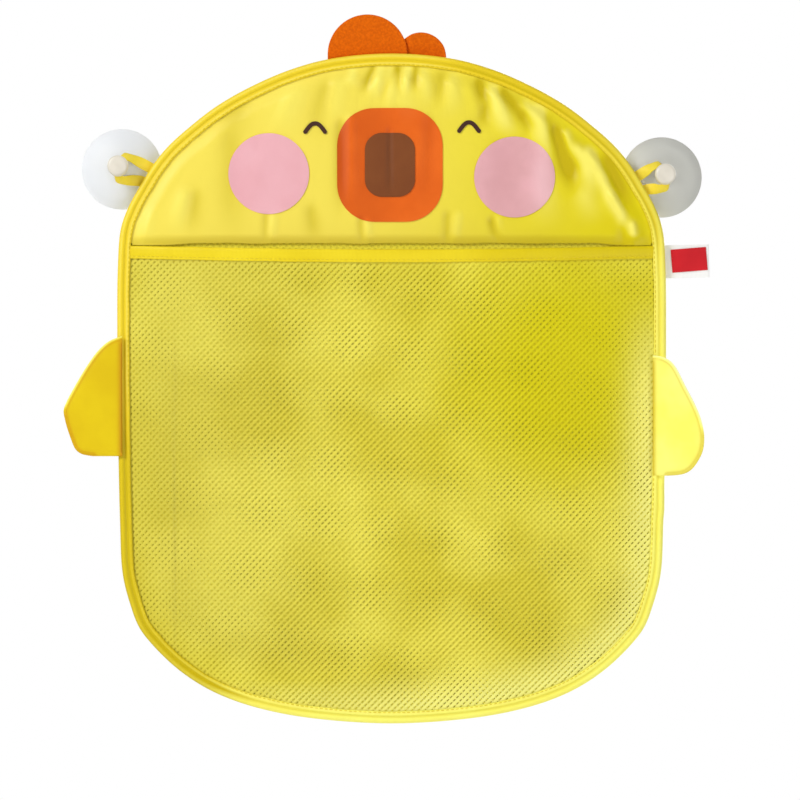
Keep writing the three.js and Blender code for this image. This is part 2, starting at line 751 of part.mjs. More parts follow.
function loopPath(side) {
  const sign = signOf[side];
  const neck = cupAt(side);
  const rootHeight = neck.z - loopDrop;
  const edge = rim.map(({ at }) => at);
  const root = new THREE.Vector3(sign * halfWidthAt(edge, rootHeight), 0, rootHeight);
  const spare = ribbonWidth;
  const above = sign * halfWidthAt(edge, rootHeight + spare);
  const below = sign * halfWidthAt(edge, rootHeight - spare);
  const along = new THREE.Vector3(above - below, 0, spare * 2).normalize();
  const outward = new THREE.Vector3(sign * along.z, 0, -sign * along.x);
  const flat = backPlane + ribbonThickness / 2 - bagDepth; // depth of the sewn ends
  const ahead = neck.clone().sub(root).normalize();
  const across = new THREE.Vector3(-ahead.z * sign, 0, ahead.x * sign);
  const end = neckDiameter / 2 + clearance + ribbonThickness / 2;
  const bend = neck.clone().addScaledVector(ahead, end - loopHeight / 2).setY(-loopDepth);
  const strand = (k) => {
    const foot = root.clone().addScaledVector(along, (k * rootSpread) / 2);
    const inner = foot.clone().addScaledVector(outward, -loopTail).setY(flat);
    const outer = foot.clone().addScaledVector(outward, ribbonThickness).setY(flat);
    const start = bend.clone().addScaledVector(across, (k * loopHeight) / 2);
    return [inner, outer, start];
  };
  const turn = [1, 2, 3, 4, 5].map((step) => {
    const angle = (step / 6) * Math.PI;
    return bend.clone()
      .addScaledVector(across, (Math.cos(angle) * loopHeight) / 2)
      .addScaledVector(ahead, (Math.sin(angle) * loopHeight) / 2);
  });
  const points = [...strand(1), ...turn, ...strand(-1).reverse()];
  return { path: new THREE.CatmullRomCurve3(points, false, 'centripetal'), bend, across };
}

function hangingLoop(side) {
  const { path, bend, across } = loopPath(side);
  const front = new THREE.Vector3(0, -1, 0);
  const flatDepth = path.getPoint(0).y;
  const frames = shareRange(loopSteps).map((share) => {
    const at = path.getPointAt(share);
    const along = path.getTangentAt(share);
    const turned = smooth((at.y - flatDepth) / (bend.y - flatDepth));
    const out = at.clone().sub(bend).setY(0);
    const mostly = share < 1 / 2 ? across.clone() : across.clone().negate();
    const beyond = out.dot(mostly.clone().cross(front)) ** 2 / out.lengthSq();
    const radial = mostly.lerp(out.normalize(), smooth(beyond)).normalize();
    const target = front.clone().multiplyScalar(1 - turned).addScaledVector(radial, turned);
    const normal = target.addScaledVector(along, -target.dot(along)).normalize();
    return { at, u: along.clone().cross(normal), v: normal };
  });
  const [half, thin] = [ribbonWidth / 2, ribbonThickness / 2];
  const section = [[-half, -thin], [half, -thin], [half, thin], [-half, thin]];
  return named(`${side}_loop`, sweepBody(section, frames, false), tapeYellow);
}

// Suction cups and pegs, turned about the axis that stands out from the wall

// Profile of [radius, y] points, given from the wall forward, turned about the Y axis.
function turnedBody(profile, facets) {
  const points = profile.map(([r, y]) => new THREE.Vector2(r, y)).reverse();
  return new THREE.LatheGeometry(points, facets);
}

function suctionCup(side) {
  const radius = cupDiameter / 2;
  const neck = neckDiameter / 2;
  const bore = pinDiameter / 2 + clearance;
  const hollow = radius - lipWidth;
  const boreEnd = neckReach - pinLength - clearance;
  const profile = [
    [0, -hollowDepth], [hollow / 2, -hollowDepth * domeShares[1][1]], [hollow, 0], [radius, 0],
    [radius, -lipThickness],
    ...domeShares.map(([out, up]) => [out * radius, -up * cupHeight]),
    [neck, -cupHeight - lipThickness], [neck, -neckReach], [bore, -neckReach],
    [bore, -boreEnd], [0, -boreEnd],
  ];
  const mesh = named(`${side}_suction_cup`, turnedBody(profile, cupFacets), softClear);
  mesh.position.copy(cupAt(side));
  return mesh;
}

function peg(side) {
  const knob = knobDiameter / 2;
  const back = -neckReach - clearance;
  const profile = [
    [0, -neckReach + pinLength], [pinDiameter / 2, -neckReach + pinLength],
    [pinDiameter / 2, back],
    ...knobShares.map(([out, up]) => [out * knob, back - up * knobLength]),
    [0, back - knobLength],
  ];
  const mesh = named(`${side}_peg`, turnedBody(profile, pegFacets), ivory);
  mesh.position.copy(cupAt(side));
  return mesh;
}

// Assembly

function bag() {
  const group = new THREE.Group();
  group.position.y = -bagDepth;
  group.add(edgeBinding(), frameWire(), wireFerrule(), backMesh(), headPanel());
  group.add(pocketMesh(), pocketHem(), ...crestLobes(), ...beakAndMouth(), sideLabel());
  for (const side of sides) {
    group.add(cheekPatch(side), eyePatch(side), wing(side));
  }
  return group;
}

function organizer() {
  const group = new THREE.Group();
  group.add(bag());
  for (const side of sides) {
    group.add(hangingLoop(side), suctionCup(side), peg(side));
  }
  return group;
}

export default organizer();
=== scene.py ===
"""Looks of the chick-shaped bath toy organizer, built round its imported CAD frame.

Metres, +Z up. The bag faces -Y and the wall is the plane y = 0. The origin is the point on the wall
midway between the two suction cups.
"""

import logging
import math
from contextlib import contextmanager
from dataclasses import dataclass, field
from enum import Enum
from functools import cached_property
from typing import Any, Callable, Iterator, Sequence

import bmesh
import bpy
import numpy as np
from mathutils import Matrix, Vector


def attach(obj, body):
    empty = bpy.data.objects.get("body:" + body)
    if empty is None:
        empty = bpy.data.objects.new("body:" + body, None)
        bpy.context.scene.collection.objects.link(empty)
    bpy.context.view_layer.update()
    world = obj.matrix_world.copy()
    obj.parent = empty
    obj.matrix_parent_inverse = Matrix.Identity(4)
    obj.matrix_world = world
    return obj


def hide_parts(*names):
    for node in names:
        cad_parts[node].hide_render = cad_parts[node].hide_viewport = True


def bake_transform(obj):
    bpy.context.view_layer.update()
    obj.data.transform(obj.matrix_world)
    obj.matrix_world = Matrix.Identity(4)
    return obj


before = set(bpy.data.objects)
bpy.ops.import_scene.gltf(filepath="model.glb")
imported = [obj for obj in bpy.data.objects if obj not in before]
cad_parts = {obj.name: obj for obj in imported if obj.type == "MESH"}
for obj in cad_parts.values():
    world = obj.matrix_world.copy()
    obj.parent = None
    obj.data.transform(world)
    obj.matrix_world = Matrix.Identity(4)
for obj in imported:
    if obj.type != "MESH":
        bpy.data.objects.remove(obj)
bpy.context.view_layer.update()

logging.basicConfig(level=logging.INFO, format="%(levelname)s %(message)s")
LOG = logging.getLogger("organizer")

MM = 0.001
Piece = bpy.types.Object
Socket = bpy.types.NodeSocket
Rows = Sequence[np.ndarray] | np.ndarray
Points = tuple[tuple[float, float], ...]
DEPTH = 14.0  # mm from the wall to the middle plane of the bag
RIM_FACE = 3.15  # mm from that plane to what is sewn on the rim's front or back


class Side(Enum):
    """Side of the bag, as seen from the front; the value is the sign of x."""

    LEFT = -1
    RIGHT = 1

    @property
    def word(self) -> str:
        """Name of the side in a piece's name."""
        return self.name.lower()


# Lines and waves


def linear(code: str) -> tuple[float, float, float, float]:
    """Turn an sRGB hex colour such as "#ecd938" into linear red, green, blue and alpha.

    Args:
        code: A # and six hexadecimal digits.

    Returns:
        The linear colour.
    """
    values = [int(code[i:i + 2], 16) / 255 for i in (1, 3, 5)]
    red, green, blue = (v / 12.92 if v <= 0.04045 else ((v + 0.055) / 1.055) ** 2.4
                        for v in values)
    return (red, green, blue, 1.0)


def smooth(value: np.ndarray) -> np.ndarray:
    """Ease from 0 to 1 over the same range of the input."""
    held = np.clip(value, 0, 1)
    return held * held * (3 - 2 * held)


def bell(value: np.ndarray, middle: float, spread: float) -> np.ndarray:
    """Give a soft bump that is 1 at its middle and fades on both sides."""
    return np.exp(-((value - middle) / spread) ** 2)


def ripple(place: np.ndarray, pitch: float, seed: float) -> np.ndarray:
    """Give a soft uneven wave of about -1 to 1.

    Args:
        place: Distance along the cloth, mm.
        pitch: Rough distance between crests, mm.
        seed: Shifts the wave, so that no two pieces repeat it.

    Returns:
        The height of the wave at each place.
    """
    turn = 2 * math.pi / pitch
    return (0.5 * np.sin(place * turn + seed) + 0.3 * np.sin(place * turn * 1.73 + seed * 2.1)
            + 0.2 * np.sin(place * turn * 2.61 + seed * 4.7))


def unit(vectors: np.ndarray) -> np.ndarray:
    """Bring each vector to length 1."""
    return vectors / np.linalg.norm(vectors, axis=-1, keepdims=True)


def closed(points: np.ndarray) -> np.ndarray:
    """Repeat the first point of a loop at its end."""
    return np.concatenate([points, points[:1]])


def stand(flat: np.ndarray, y: np.ndarray | float) -> np.ndarray:
    """Give x and z pairs their depth coordinate, as points of x, y and z."""
    return np.insert(flat, 1, y, axis=1)


def pairs(x: np.ndarray, z: float) -> np.ndarray:
    """Pair places across the bag with one height."""
    return np.stack([x, np.full(len(x), z)], axis=1)


def run_of(line: np.ndarray) -> np.ndarray:
    """Distance along a line to each of its points."""
    return np.concatenate([[0.0], np.cumsum(np.linalg.norm(np.diff(line, axis=0), axis=1))])


def sample(line: np.ndarray, run: np.ndarray, at: np.ndarray) -> np.ndarray:
    """Points of a line at some distances along it, given the distance of its own points."""
    return np.stack([np.interp(at, run, column) for column in line.T], axis=1)


def evenly(line: np.ndarray, count: int) -> np.ndarray:
    """Lay evenly spaced points along a line, from end to end."""
    run = run_of(line)
    return sample(line, run, np.linspace(0, run[-1], count))


def spline(points: np.ndarray, loop: bool, steps: int) -> np.ndarray:
    """Sample a centripetal Catmull-Rom curve, as the CAD source does.

    Args:
        points: Points that the curve passes through.
        loop: Whether the curve is a loop.
        steps: Number of equal parameter steps.

    Returns:
        The sampled points; a loop does not repeat its first one.
    """
    count = len(points)
    spans = count if loop else count - 1
    out = []
    for k in range(steps if loop else steps + 1):
        place = min(k / steps * spans, spans - 1e-9)
        i, w = int(place), place - int(place)
        if loop:
            p0, p1, p2, p3 = (points[(i + o) % count] for o in (-1, 0, 1, 2))
        else:
            p1, p2 = points[i], points[i + 1]
            p0 = points[i - 1] if i > 0 else 2 * p1 - p2
            p3 = points[i + 2] if i + 2 < count else 2 * p2 - p1
        d0, d1, d2 = (max(float(np.linalg.norm(b - a)) ** 0.5, 1e-6)
                      for a, b in ((p0, p1), (p1, p2), (p2, p3)))
        t1 = ((p1 - p0) / d0 - (p2 - p0) / (d0 + d1) + (p2 - p1) / d1) * d1
        t2 = ((p2 - p1) / d1 - (p3 - p1) / (d1 + d2) + (p3 - p2) / d2) * d1
        out.append(p1 + t1 * w + (-3 * p1 + 3 * p2 - 2 * t1 - t2) * w ** 2
                   + (2 * p1 - 2 * p2 + t1 + t2) * w ** 3)
    return np.array(out)


# Modelling


def deselect() -> None:
    """Leave nothing selected, because an operator acts on all that is."""
    if bpy.context.object and bpy.context.object.mode != "OBJECT":
        bpy.ops.object.mode_set(mode="OBJECT")
    bpy.ops.object.select_all(action="DESELECT")


def only(piece: Piece) -> None:
    """Select one piece and make it the active one."""
    deselect()
    piece.select_set(True)
    bpy.context.view_layer.objects.active = piece


@contextmanager
def editing(piece: Piece) -> Iterator[None]:
    """Open one piece in edit mode with all of it selected, and close it afterwards.

    Args:
        piece: The piece to edit.

    Yields:
        Nothing, while the piece is open.
    """
    only(piece)
    bpy.ops.object.mode_set(mode="EDIT")
    bpy.ops.mesh.select_all(action="SELECT")
    yield
    bpy.ops.object.mode_set(mode="OBJECT")


def modify(piece: Piece, kind: str, **settings: Any) -> None:
    """Add one modifier to a piece and apply it.

    Args:
        piece: The piece to change.
        kind: Blender's name of the modifier.
        **settings: Values for the modifier.
    """
    only(piece)
    made = piece.modifiers.new(kind.lower(), kind)
    for key, value in settings.items():
        setattr(made, key, value)
    bpy.ops.object.modifier_apply(modifier=made.name)


def thicken(piece: Piece, thickness: float, offset: float = -1.0) -> None:
    """Give a sheet its thickness in mm, behind its face unless the offset says otherwise."""
    modify(piece, "SOLIDIFY", thickness=thickness * MM, offset=offset)


def soften(piece: Piece, width: float, segments: int) -> None:
    """Round the sharp edges of a piece by a width in mm."""
    modify(piece, "BEVEL", width=width * MM, segments=segments, limit_method="ANGLE",
           angle_limit=math.radians(50))


def tidy_mesh(piece: Piece, gap: float = 1e-6, outward: bool = True) -> None:
    """Merge points closer than a gap in metres, and turn the faces outwards if wanted.

    Args:
        piece: The piece to clean.
        gap: Distance under which points merge, metres.
        outward: Whether the faces are turned outwards too.
    """
    with editing(piece):
        bpy.ops.mesh.remove_doubles(threshold=gap)
        if outward:
            bpy.ops.mesh.normals_make_consistent(inside=False)


def seal(piece: Piece, fill: Callable[[], Any]) -> None:
    """Fill what is left open in a piece and turn the faces outwards.

    Args:
        piece: The piece to close.
        fill: Operator that fills the selected edges.
    """
    with editing(piece):
        bpy.ops.mesh.select_all(action="DESELECT")
        bpy.ops.mesh.select_non_manifold()
        fill()
        bpy.ops.mesh.select_all(action="SELECT")
        bpy.ops.mesh.normals_make_consistent(inside=False)


def face_front(piece: Piece) -> None:
    """Turn an open sheet's faces to the front."""
    if sum(p.normal.y * p.area for p in piece.data.polygons) > 0:
        piece.data.flip_normals()


def shade(piece: Piece, angle: float) -> None:
    """Shade a piece smooth, except over edges sharper than an angle in degrees."""
    only(piece)
    bpy.ops.object.shade_smooth_by_angle(angle=math.radians(angle))


def coordinates(mesh: bpy.types.Mesh) -> np.ndarray:
    """Read the points of a mesh, metres."""
    flat = np.empty(len(mesh.vertices) * 3)
    mesh.vertices.foreach_get("co", flat)
    return flat.reshape(-1, 3)


def set_shade_and_tone(mesh: bpy.types.Mesh, shade_and_tone: np.ndarray) -> None:
    """Keep the painted shade and highlight, with some tone, at each point, from -1 to 1, as an
    attribute.
    """
    kept = mesh.attributes.new("shade_and_tone", "FLOAT", "POINT")
    kept.data.foreach_set("value", shade_and_tone.astype(np.float32))


def added(operator: Callable[..., Any], name: str, **settings: Any) -> Piece:
    """Add a primitive that is to be modelled further.

    Args:
        operator: Blender's operator that adds it.
        name: Name of the piece.
        **settings: Values for the operator.

    Returns:
        The new piece.
    """
    deselect()
    operator(**settings)
    piece = bpy.context.object
    piece.name = piece.data.name = name
    return piece


def grid_piece(name: str, rows: Rows, sizes: tuple[float, float],
               shade_and_tones: Rows | None = None) -> Piece:
    """Add a grid and lay its points out as a surface.

    Args:
        name: Name of the piece.
        rows: Rows of points, mm.
        sizes: Real width along the columns and length along the rows, mm, for the UV map.
        shade_and_tones: Painted shade and highlight, with some tone, at each point, from -1 to 1.

    Returns:
        The new piece, with its UV map in millimetres.
    """
    points = np.array(rows)
    last_row, last_column = points.shape[0] - 1, points.shape[1] - 1
    piece = added(bpy.ops.mesh.primitive_grid_add, name, x_subdivisions=last_column,
                  y_subdivisions=last_row, size=1, calc_uvs=True)
    mesh = piece.data
    flat = coordinates(mesh)
    across = np.rint((flat[:, 0] + 0.5) * last_column).astype(int)
    along = np.rint((flat[:, 1] + 0.5) * last_row).astype(int)
    mesh.vertices.foreach_set("co", (points[along, across] * MM).ravel())
    owners = np.empty(len(mesh.loops), dtype=int)
    mesh.loops.foreach_get("vertex_index", owners)
    uv = np.stack([across[owners] / last_column * sizes[0],
                   along[owners] / last_row * sizes[1]], axis=1)
    mesh.uv_layers.active.data.foreach_set("uv", uv.ravel())
    if shade_and_tones is not None:
        set_shade_and_tone(mesh, np.array(shade_and_tones)[along, across])
    mesh.update()
    return piece


def sheet_piece(name: str, rows: Sequence[np.ndarray], sizes: tuple[float, float],
                thickness: float, shade_and_tones: Sequence[np.ndarray] | None = None,
                bevel: float = 0.0) -> Piece:
    """Make a thin sheet whose front runs through rows of points.

    Args:
        name: Name of the piece.
        rows: Rows of points, mm.
        sizes: Real width and length for the UV map, mm.
        thickness: Thickness behind the front, mm.
        shade_and_tones: Painted shade and highlight, with some tone, at each point, from -1 to 1.
        bevel: Width of the rounding along its edge, mm.

    Returns:
        The new closed piece.
    """
    piece = grid_piece(name, rows, sizes, shade_and_tones)
    tidy_mesh(piece, 1e-5, outward=False)
    face_front(piece)
    thicken(piece, thickness)
    if bevel:
        soften(piece, bevel, 3)
    shade(piece, 60)
    return piece


def turned_piece(name: str, profile: Sequence[tuple[float, float]], centre: np.ndarray,
                 steps: int, sharp: float) -> Piece:
    """Turn a profile about a line along Y, as on a lathe.

    Args:
        name: Name of the piece.
        profile: Radius and depth in front of the wall of each point, mm.
        centre: Point on the wall that the line passes through, mm.
        steps: Number of faces around.
        sharp: Angle in degrees past which an edge stays sharp.

    Returns:
        The new closed piece.
    """
    places = [Vector((radius * MM, -reach * MM, 0)) for radius, reach in profile]
    piece = added(bpy.ops.mesh.primitive_plane_add, name, size=MM)
    with editing(piece):
        bpy.ops.mesh.merge(type="CENTER")
        bpy.ops.transform.translate(value=places[0])
        for here, after in zip(places, places[1:]):
            bpy.ops.mesh.extrude_vertices_move(TRANSFORM_OT_translate={"value": after - here})
        bpy.ops.mesh.select_all(action="SELECT")
        bpy.ops.mesh.spin(steps=steps, angle=math.tau, center=(0, 0, 0), axis=(0, 1, 0))
        bpy.ops.mesh.select_all(action="SELECT")
        bpy.ops.transform.translate(value=Vector(centre) * MM)
    tidy_mesh(piece, 2e-6)
    shade(piece, sharp)
    return piece


def stitch_row(name: str, places: np.ndarray, along: np.ndarray, out: np.ndarray,
               length: float, thick: float) -> Piece:
    """Model one stitch and lay copies of it in rows.

    Args:
        name: Name of the piece.
        places: Middle of each stitch, mm.
        along: Direction of each stitch.
        out: Direction away from the cloth at each stitch.
        length: Length of a stitch, mm.
        thick: Thickness of its thread, mm.

    Returns:
        One piece that holds every stitch.
    """
    model = added(bpy.ops.mesh.primitive_uv_sphere_add, name, segments=6, ring_count=4, radius=0.5)
    with editing(model):
        bpy.ops.transform.rotate(value=math.pi / 2, orient_axis="Y", center_override=(0, 0, 0))
        bpy.ops.transform.resize(value=(length, thick, thick), center_override=(0, 0, 0))
    shape = coordinates(model.data)
    faces = [list(p.vertices) for p in model.data.polygons]
    bpy.data.meshes.remove(model.data)
    ahead = unit(along)
    side = unit(np.cross(ahead, out))
    up = np.cross(side, ahead)
    sunk = np.abs(shape[:, 0]) / length  # the ends of a stitch dip into the cloth
    spots = (places[:, None] + shape[None, :, 0, None] * ahead[:, None]
             + shape[None, :, 1, None] * side[:, None]
             + (shape[:, 2] - sunk ** 2 * thick * 2)[None, :, None] * up[:, None])
    mesh = bpy.data.meshes.new(name)
    mesh.from_pydata((spots.reshape(-1, 3) * MM).tolist(), [],
                     [[v + k * len(shape) for v in f] for k in range(len(places)) for f in faces])
    piece = bpy.data.objects.new(name, mesh)
    bpy.context.collection.objects.link(piece)
    tidy_mesh(piece, 1e-7)
    mesh.shade_smooth()
    return piece


# Finishes


class Nodes:
    """Node tree of one material, with a short call for each node that the finishes need."""

    def __init__(self, tree: bpy.types.NodeTree) -> None:
        """Keep the tree that the nodes go into."""
        self.tree = tree

    def feed(self, node: bpy.types.Node, inputs: dict[Any, Any]) -> None:
        """Set each input of a node, or link it where the value is a socket.

        Args:
            node: Node whose inputs are set.
            inputs: Value or source socket of each input, by name or number.
        """
        for key, value in inputs.items():
            if isinstance(value, Socket):
                self.tree.links.new(value, node.inputs[key])
            else:
                node.inputs[key].default_value = value

    def add(self, kind: str, inputs: dict[Any, Any] | None = None,
            **settings: Any) -> bpy.types.bpy_prop_collection:
        """Add one node.

        Args:
            kind: Blender's type name of the node, without its first part.
            inputs: Value or source socket of each input.
            **settings: Properties of the node itself.

        Returns:
            The outputs of the new node.
        """
        made = self.tree.nodes.new("ShaderNode" + kind)
        for key, value in settings.items():
            setattr(made, key, value)
        self.feed(made, inputs or {})
        return made.outputs

    @cached_property
    def place(self) -> Socket:
        """Place on the object, metres."""
        return self.add("TexCoord")["Object"]

    def axis(self, name: str, place: Socket | None = None) -> Socket:
        """One coordinate of a place, here that on the object."""
        return self.add("SeparateXYZ", {"Vector": place or self.place})[name]

    def calc(self, operation: str, *terms: Any, **settings: Any) -> Socket:
        """Calculate with one or two terms."""
        return self.add("Math", dict(enumerate(terms)), operation=operation,
                        **settings)["Value"]

    def vector_calc(self, operation: str, first: Any, second: Any) -> Socket:
        """Calculate one number from two vectors."""
        return self.add("VectorMath", {0: first, 1: second}, operation=operation)["Value"]

    def mapped(self, place: Socket, **values: Any) -> Socket:
        """Turn or stretch a place by what is given for the Mapping node's inputs."""
        return self.add("Mapping", {"Vector": place, **values})["Vector"]

    def spread(self, value: Socket, low: float, high: float) -> Socket:
        """Spread a value of 0 to 1 over another range."""
        return self.add("MapRange", {"Value": value, "To Min": low, "To Max": high})["Result"]

    def fade(self, value: Socket, start: float, end: float,
             full: float = 1.0) -> Socket:
        """Ease from 0, where a value is at its start, up to the full share at its end."""
        return self.add("MapRange", {"Value": value, "From Min": start, "From Max": end,
                                     "To Max": full}, interpolation_type="SMOOTHSTEP")["Result"]

    def mix(self, share: Any, first: Any, second: Any) -> Socket:
        """Mix two colours, each a hex colour or a socket; a share of 0 gives the first."""
        first, second = (linear(c) if isinstance(c, str) else c for c in (first, second))
        return self.add("Mix", {0: share, 6: first, 7: second}, data_type="RGBA")[2]

    def noise(self, size: float, detail: float, place: Socket | None = None,
              roughness: float = 0.5) -> Socket:
        """Noise whose clouds are about a size in mm, over the object unless told otherwise."""
        return self.add("TexNoise", {"Scale": 1 / (size * MM), "Detail": detail,
                                     "Roughness": roughness,
                                     "Vector": place or self.place})["Fac"]

    def mottled(self, size: float, low: str, high: str,
                detail: float = 3.0) -> Socket:
        """Mix two colours in clouds.

        Args:
            size: Rough size of a cloud, mm.
            low: Colour of the darker clouds.
            high: Colour of the lighter clouds.
            detail: How fine the clouds break up.

        Returns:
            Socket of the mixed colour.
        """
        ramp = self.tree.nodes.new("ShaderNodeValToRGB")
        self.feed(ramp, {"Fac": self.noise(size, detail)})
        for stop, at, tone in zip(ramp.color_ramp.elements, (0.36, 0.64), (low, high)):
            stop.position, stop.color = at, linear(tone)
        return ramp.outputs["Color"]

    def toned(self, colour: Socket, deep: str, pale: str) -> Socket:
        """Deepen or lighten a colour as the piece's shade_and_tone attribute says: painted shade
        and highlight, with some tone.

        Args:
            colour: Socket of the plain colour.
            deep: Colour of painted shade in the deepest folds and creases, where the attribute is
                1.
            pale: Colour of painted highlight on the highest ridges, where the attribute is -1.

        Returns:
            Socket of the mixed colour.
        """
        shade_and_tone = self.add("Attribute", attribute_name="shade_and_tone")["Fac"]
        for tone, sign in ((deep, 1.0), (pale, -1.0)):
            colour = self.mix(self.calc("MULTIPLY", shade_and_tone, sign, use_clamp=True), colour, tone)
        return colour

    def bump(self, height: Socket, strength: float,
             distance: float) -> Socket:
        """Relief of a height, with its strength from 0 to 1 and its depth in mm."""
        return self.add("Bump", {"Height": height, "Strength": strength,
                                 "Distance": distance * MM})["Normal"]


@dataclass(frozen=True)
class Finish:
    """Base of every finish: a Principled surface with a colour and a gloss."""

    name: str
    colour: str
    roughness: float = 0.6
    sheen: float = 0.0
    specular: float = 0.2

    def surface(self, nodes: Nodes) -> dict[str, Any]:
        """Shader inputs, values or sockets, that this kind of finish adds."""
        raise NotImplementedError

    def make(self) -> bpy.types.Material:
        """Make the finished material.

        Returns:
            The new material.
        """
        material = bpy.data.materials.new(self.name)
        material.use_nodes = True
        nodes = Nodes(material.node_tree)
        nodes.feed(nodes.tree.nodes["Principled BSDF"], {
            "Base Color": linear(self.colour), "Roughness": self.roughness,
            "Sheen Weight": self.sheen, "Specular IOR Level": self.specular,
            **self.surface(nodes)})
        return material


@dataclass(frozen=True)
class WovenSatin(Finish):
    """Polyester satin: long floats of yarn that catch the light, with soft uneven tone."""

    low: str = "#dcc91f"
    cloud: float = 55.0  # mm
    slub: float = 1.4  # mm between the slubs that show; the real yarn is finer than a pixel
    relief: float = 0.12
    # deep paints shade in the head's valleys and at the wings' roots and lower edges, and darkens
    # the head's turned edge and the wings' seams; pale paints highlight on ridges and upper edges
    deep: str = "#cdb900"
    pale: str = "#f8ec84"
    from_left: str | None = None  # tone of the left end of the piece, where it differs
    half_width: float = 170.0  # mm over which that tone fades

    def surface(self, nodes: Nodes) -> dict[str, Any]:
        """Uneven tone, painted shade and highlight, and slubs along both yarns.

        Args:
            nodes: Node tree of the material.

        Returns:
            Shader inputs, values or sockets.
        """
        colour = nodes.mottled(self.cloud, self.low, self.colour)
        if self.from_left:
            share = nodes.fade(nodes.axis("X"), -0.4 * self.half_width * MM, self.half_width * MM)
            colour = nodes.mix(share, self.from_left, colour)
        yarns = [nodes.noise(self.slub, 2.0, nodes.mapped(nodes.place, Scale=stretch))
                 for stretch in ((1, 1, 0.12), (0.12, 1, 1))]
        return {"Base Color": nodes.toned(colour, self.deep, self.pale),
                "Normal": nodes.bump(nodes.calc("ADD", *yarns), self.relief, 0.4)}


@dataclass(frozen=True)
class RibbedTape(Finish):
    """Woven polyester tape: fine ribs across its width, with painted shade a little darker in the
    grooves.
    """

    low: str = "#ecc814"
    # deep paints shade in the binding's creases and where it turns from the light, and darkens the
    # hem's right end; pale paints highlight on the binding's fold and leg
    deep: str = "#d9b400"
    pale: str = "#fff486"
    golden: str | None = None  # tone of the bag's top and left side, where it differs
    rib: float = 1.3  # mm between ribs that show; the real ones are half of that
    relief: float = 0.12

    def surface(self, nodes: Nodes) -> dict[str, Any]:
        """Ribs, by a UV map that runs in mm along and across the tape, painted shade in their
        grooves and creases, and uneven tone.

        Args:
            nodes: Node tree of the material.

        Returns:
            Shader inputs, values or sockets.
        """
        ribs = nodes.add("TexWave", {
            "Scale": 0.5 / (math.pi * self.rib), "Distortion": 1.2, "Detail": 2.0,
            "Detail Scale": 1.5, "Vector": nodes.add("TexCoord")["UV"]},
            bands_direction="X")["Fac"]
        tone = nodes.mottled(40.0, self.low, self.colour, 1.0)
        # painted shade: the colour is a little darker in the grooves between the ribs
        colour = nodes.mix(0.8, nodes.mix(ribs, self.low, tone), tone)
        if self.golden:
            # golden at the top and on the left, lemon towards the bottom right
            slope = nodes.vector_calc("DOT_PRODUCT", nodes.place, (1, 0, -1))
            colour = nodes.mix(nodes.fade(slope, 0.03, 0.34), self.golden, colour)
        return {"Base Color": nodes.toned(colour, self.deep, self.pale),
                "Normal": nodes.bump(ribs, self.relief, 0.3)}


@dataclass(frozen=True)
class KnitThread(Finish):
    """Polyester thread of the net, slightly fuzzy, with clouds of tone over the pocket."""

    low: str = "#dfd03a"
    deep: str = "#c4b644"  # on the left, where the net sags into its own shade
    pale: str = "#fff986"  # painted light along the rim
    rich: str = "#dccf04"  # in the middle of the right side
    rich_at: tuple[float, float, float] = (0.115, -0.02, -0.13)  # metres

    def surface(self, nodes: Nodes) -> dict[str, Any]:
        """Clouds of tone, a rich spot on the right, painted shade and light, and fuzz.

        Args:
            nodes: Node tree of the material.

        Returns:
            Shader inputs, values or sockets.
        """
        away = nodes.vector_calc("DISTANCE", nodes.place, self.rich_at)
        tone = nodes.mix(nodes.fade(away, 0.03, 0.13), self.rich,
                         nodes.mottled(70.0, self.low, self.colour, 2.0))
        return {"Base Color": nodes.toned(tone, self.deep, self.pale),
                "Normal": nodes.bump(nodes.noise(0.9, 3.0), 0.2, 0.2)}


@dataclass(frozen=True)
class NetBehind(Finish):
    """Back sheet of the same net, closed: threads with small dark pits between them, painted shade
    in place of its open holes.
    """

    low: str = "#f2e444"
    # pit: painted shade, the dark colour in place of the real net's open holes
    pit: str = "#b8a820"
    pitch: float = 2.9  # mm between the threads
    turn: float = 42.5  # degrees that the threads lean
    share: float = 0.3  # radius of a pit as a share of the pitch
    pale: str = "#fff644"  # painted light, in the strip that lies between the head and the pocket and near the rim

    def surface(self, nodes: Nodes) -> dict[str, Any]:
        """A square lattice of dark pits, painted shade, with raised threads.

        Args:
            nodes: Node tree of the material.

        Returns:
            Shader inputs, values or sockets.
        """
        laid = nodes.mapped(nodes.place, Rotation=(math.pi / 2, 0, 0))
        leant = nodes.mapped(laid, Rotation=(0, 0, math.radians(self.turn)),
                             Scale=(1 / (self.pitch * MM),) * 3)
        squares = []
        for name in "XY":
            middle = nodes.calc("SUBTRACT", nodes.calc("FRACT", nodes.axis(name, leant)), 0.5)
            squares.append(nodes.calc("MULTIPLY", middle, middle))
        reach = nodes.calc("SQRT", nodes.calc("ADD", *squares))
        edge = nodes.fade(reach, self.share * 0.75, self.share * 1.25)
        thread = nodes.toned(nodes.mottled(60.0, self.low, self.colour), self.pit, self.pale)
        # painted light: the pits are paler too in the strip between the head and the pocket
        strip = nodes.fade(nodes.axis("Z"), -0.07, -0.052, 0.75)
        return {"Base Color": nodes.mix(nodes.calc("MAXIMUM", edge, strip), self.pit, thread),
                "Normal": nodes.bump(edge, 0.6, 0.5)}


@dataclass(frozen=True)
class PressedFelt(Finish):
    """Pressed wool-look felt: matted fibres, mottled, no gloss."""

    low: str = "#c95305"

    def surface(self, nodes: Nodes) -> dict[str, Any]:
        """Small clouds and fibres."""
        return {"Base Color": nodes.mottled(1.6, self.low, self.colour, 6.0),
                "Normal": nodes.bump(nodes.noise(1.1, 6.0, roughness=0.75), 0.5, 0.5)}


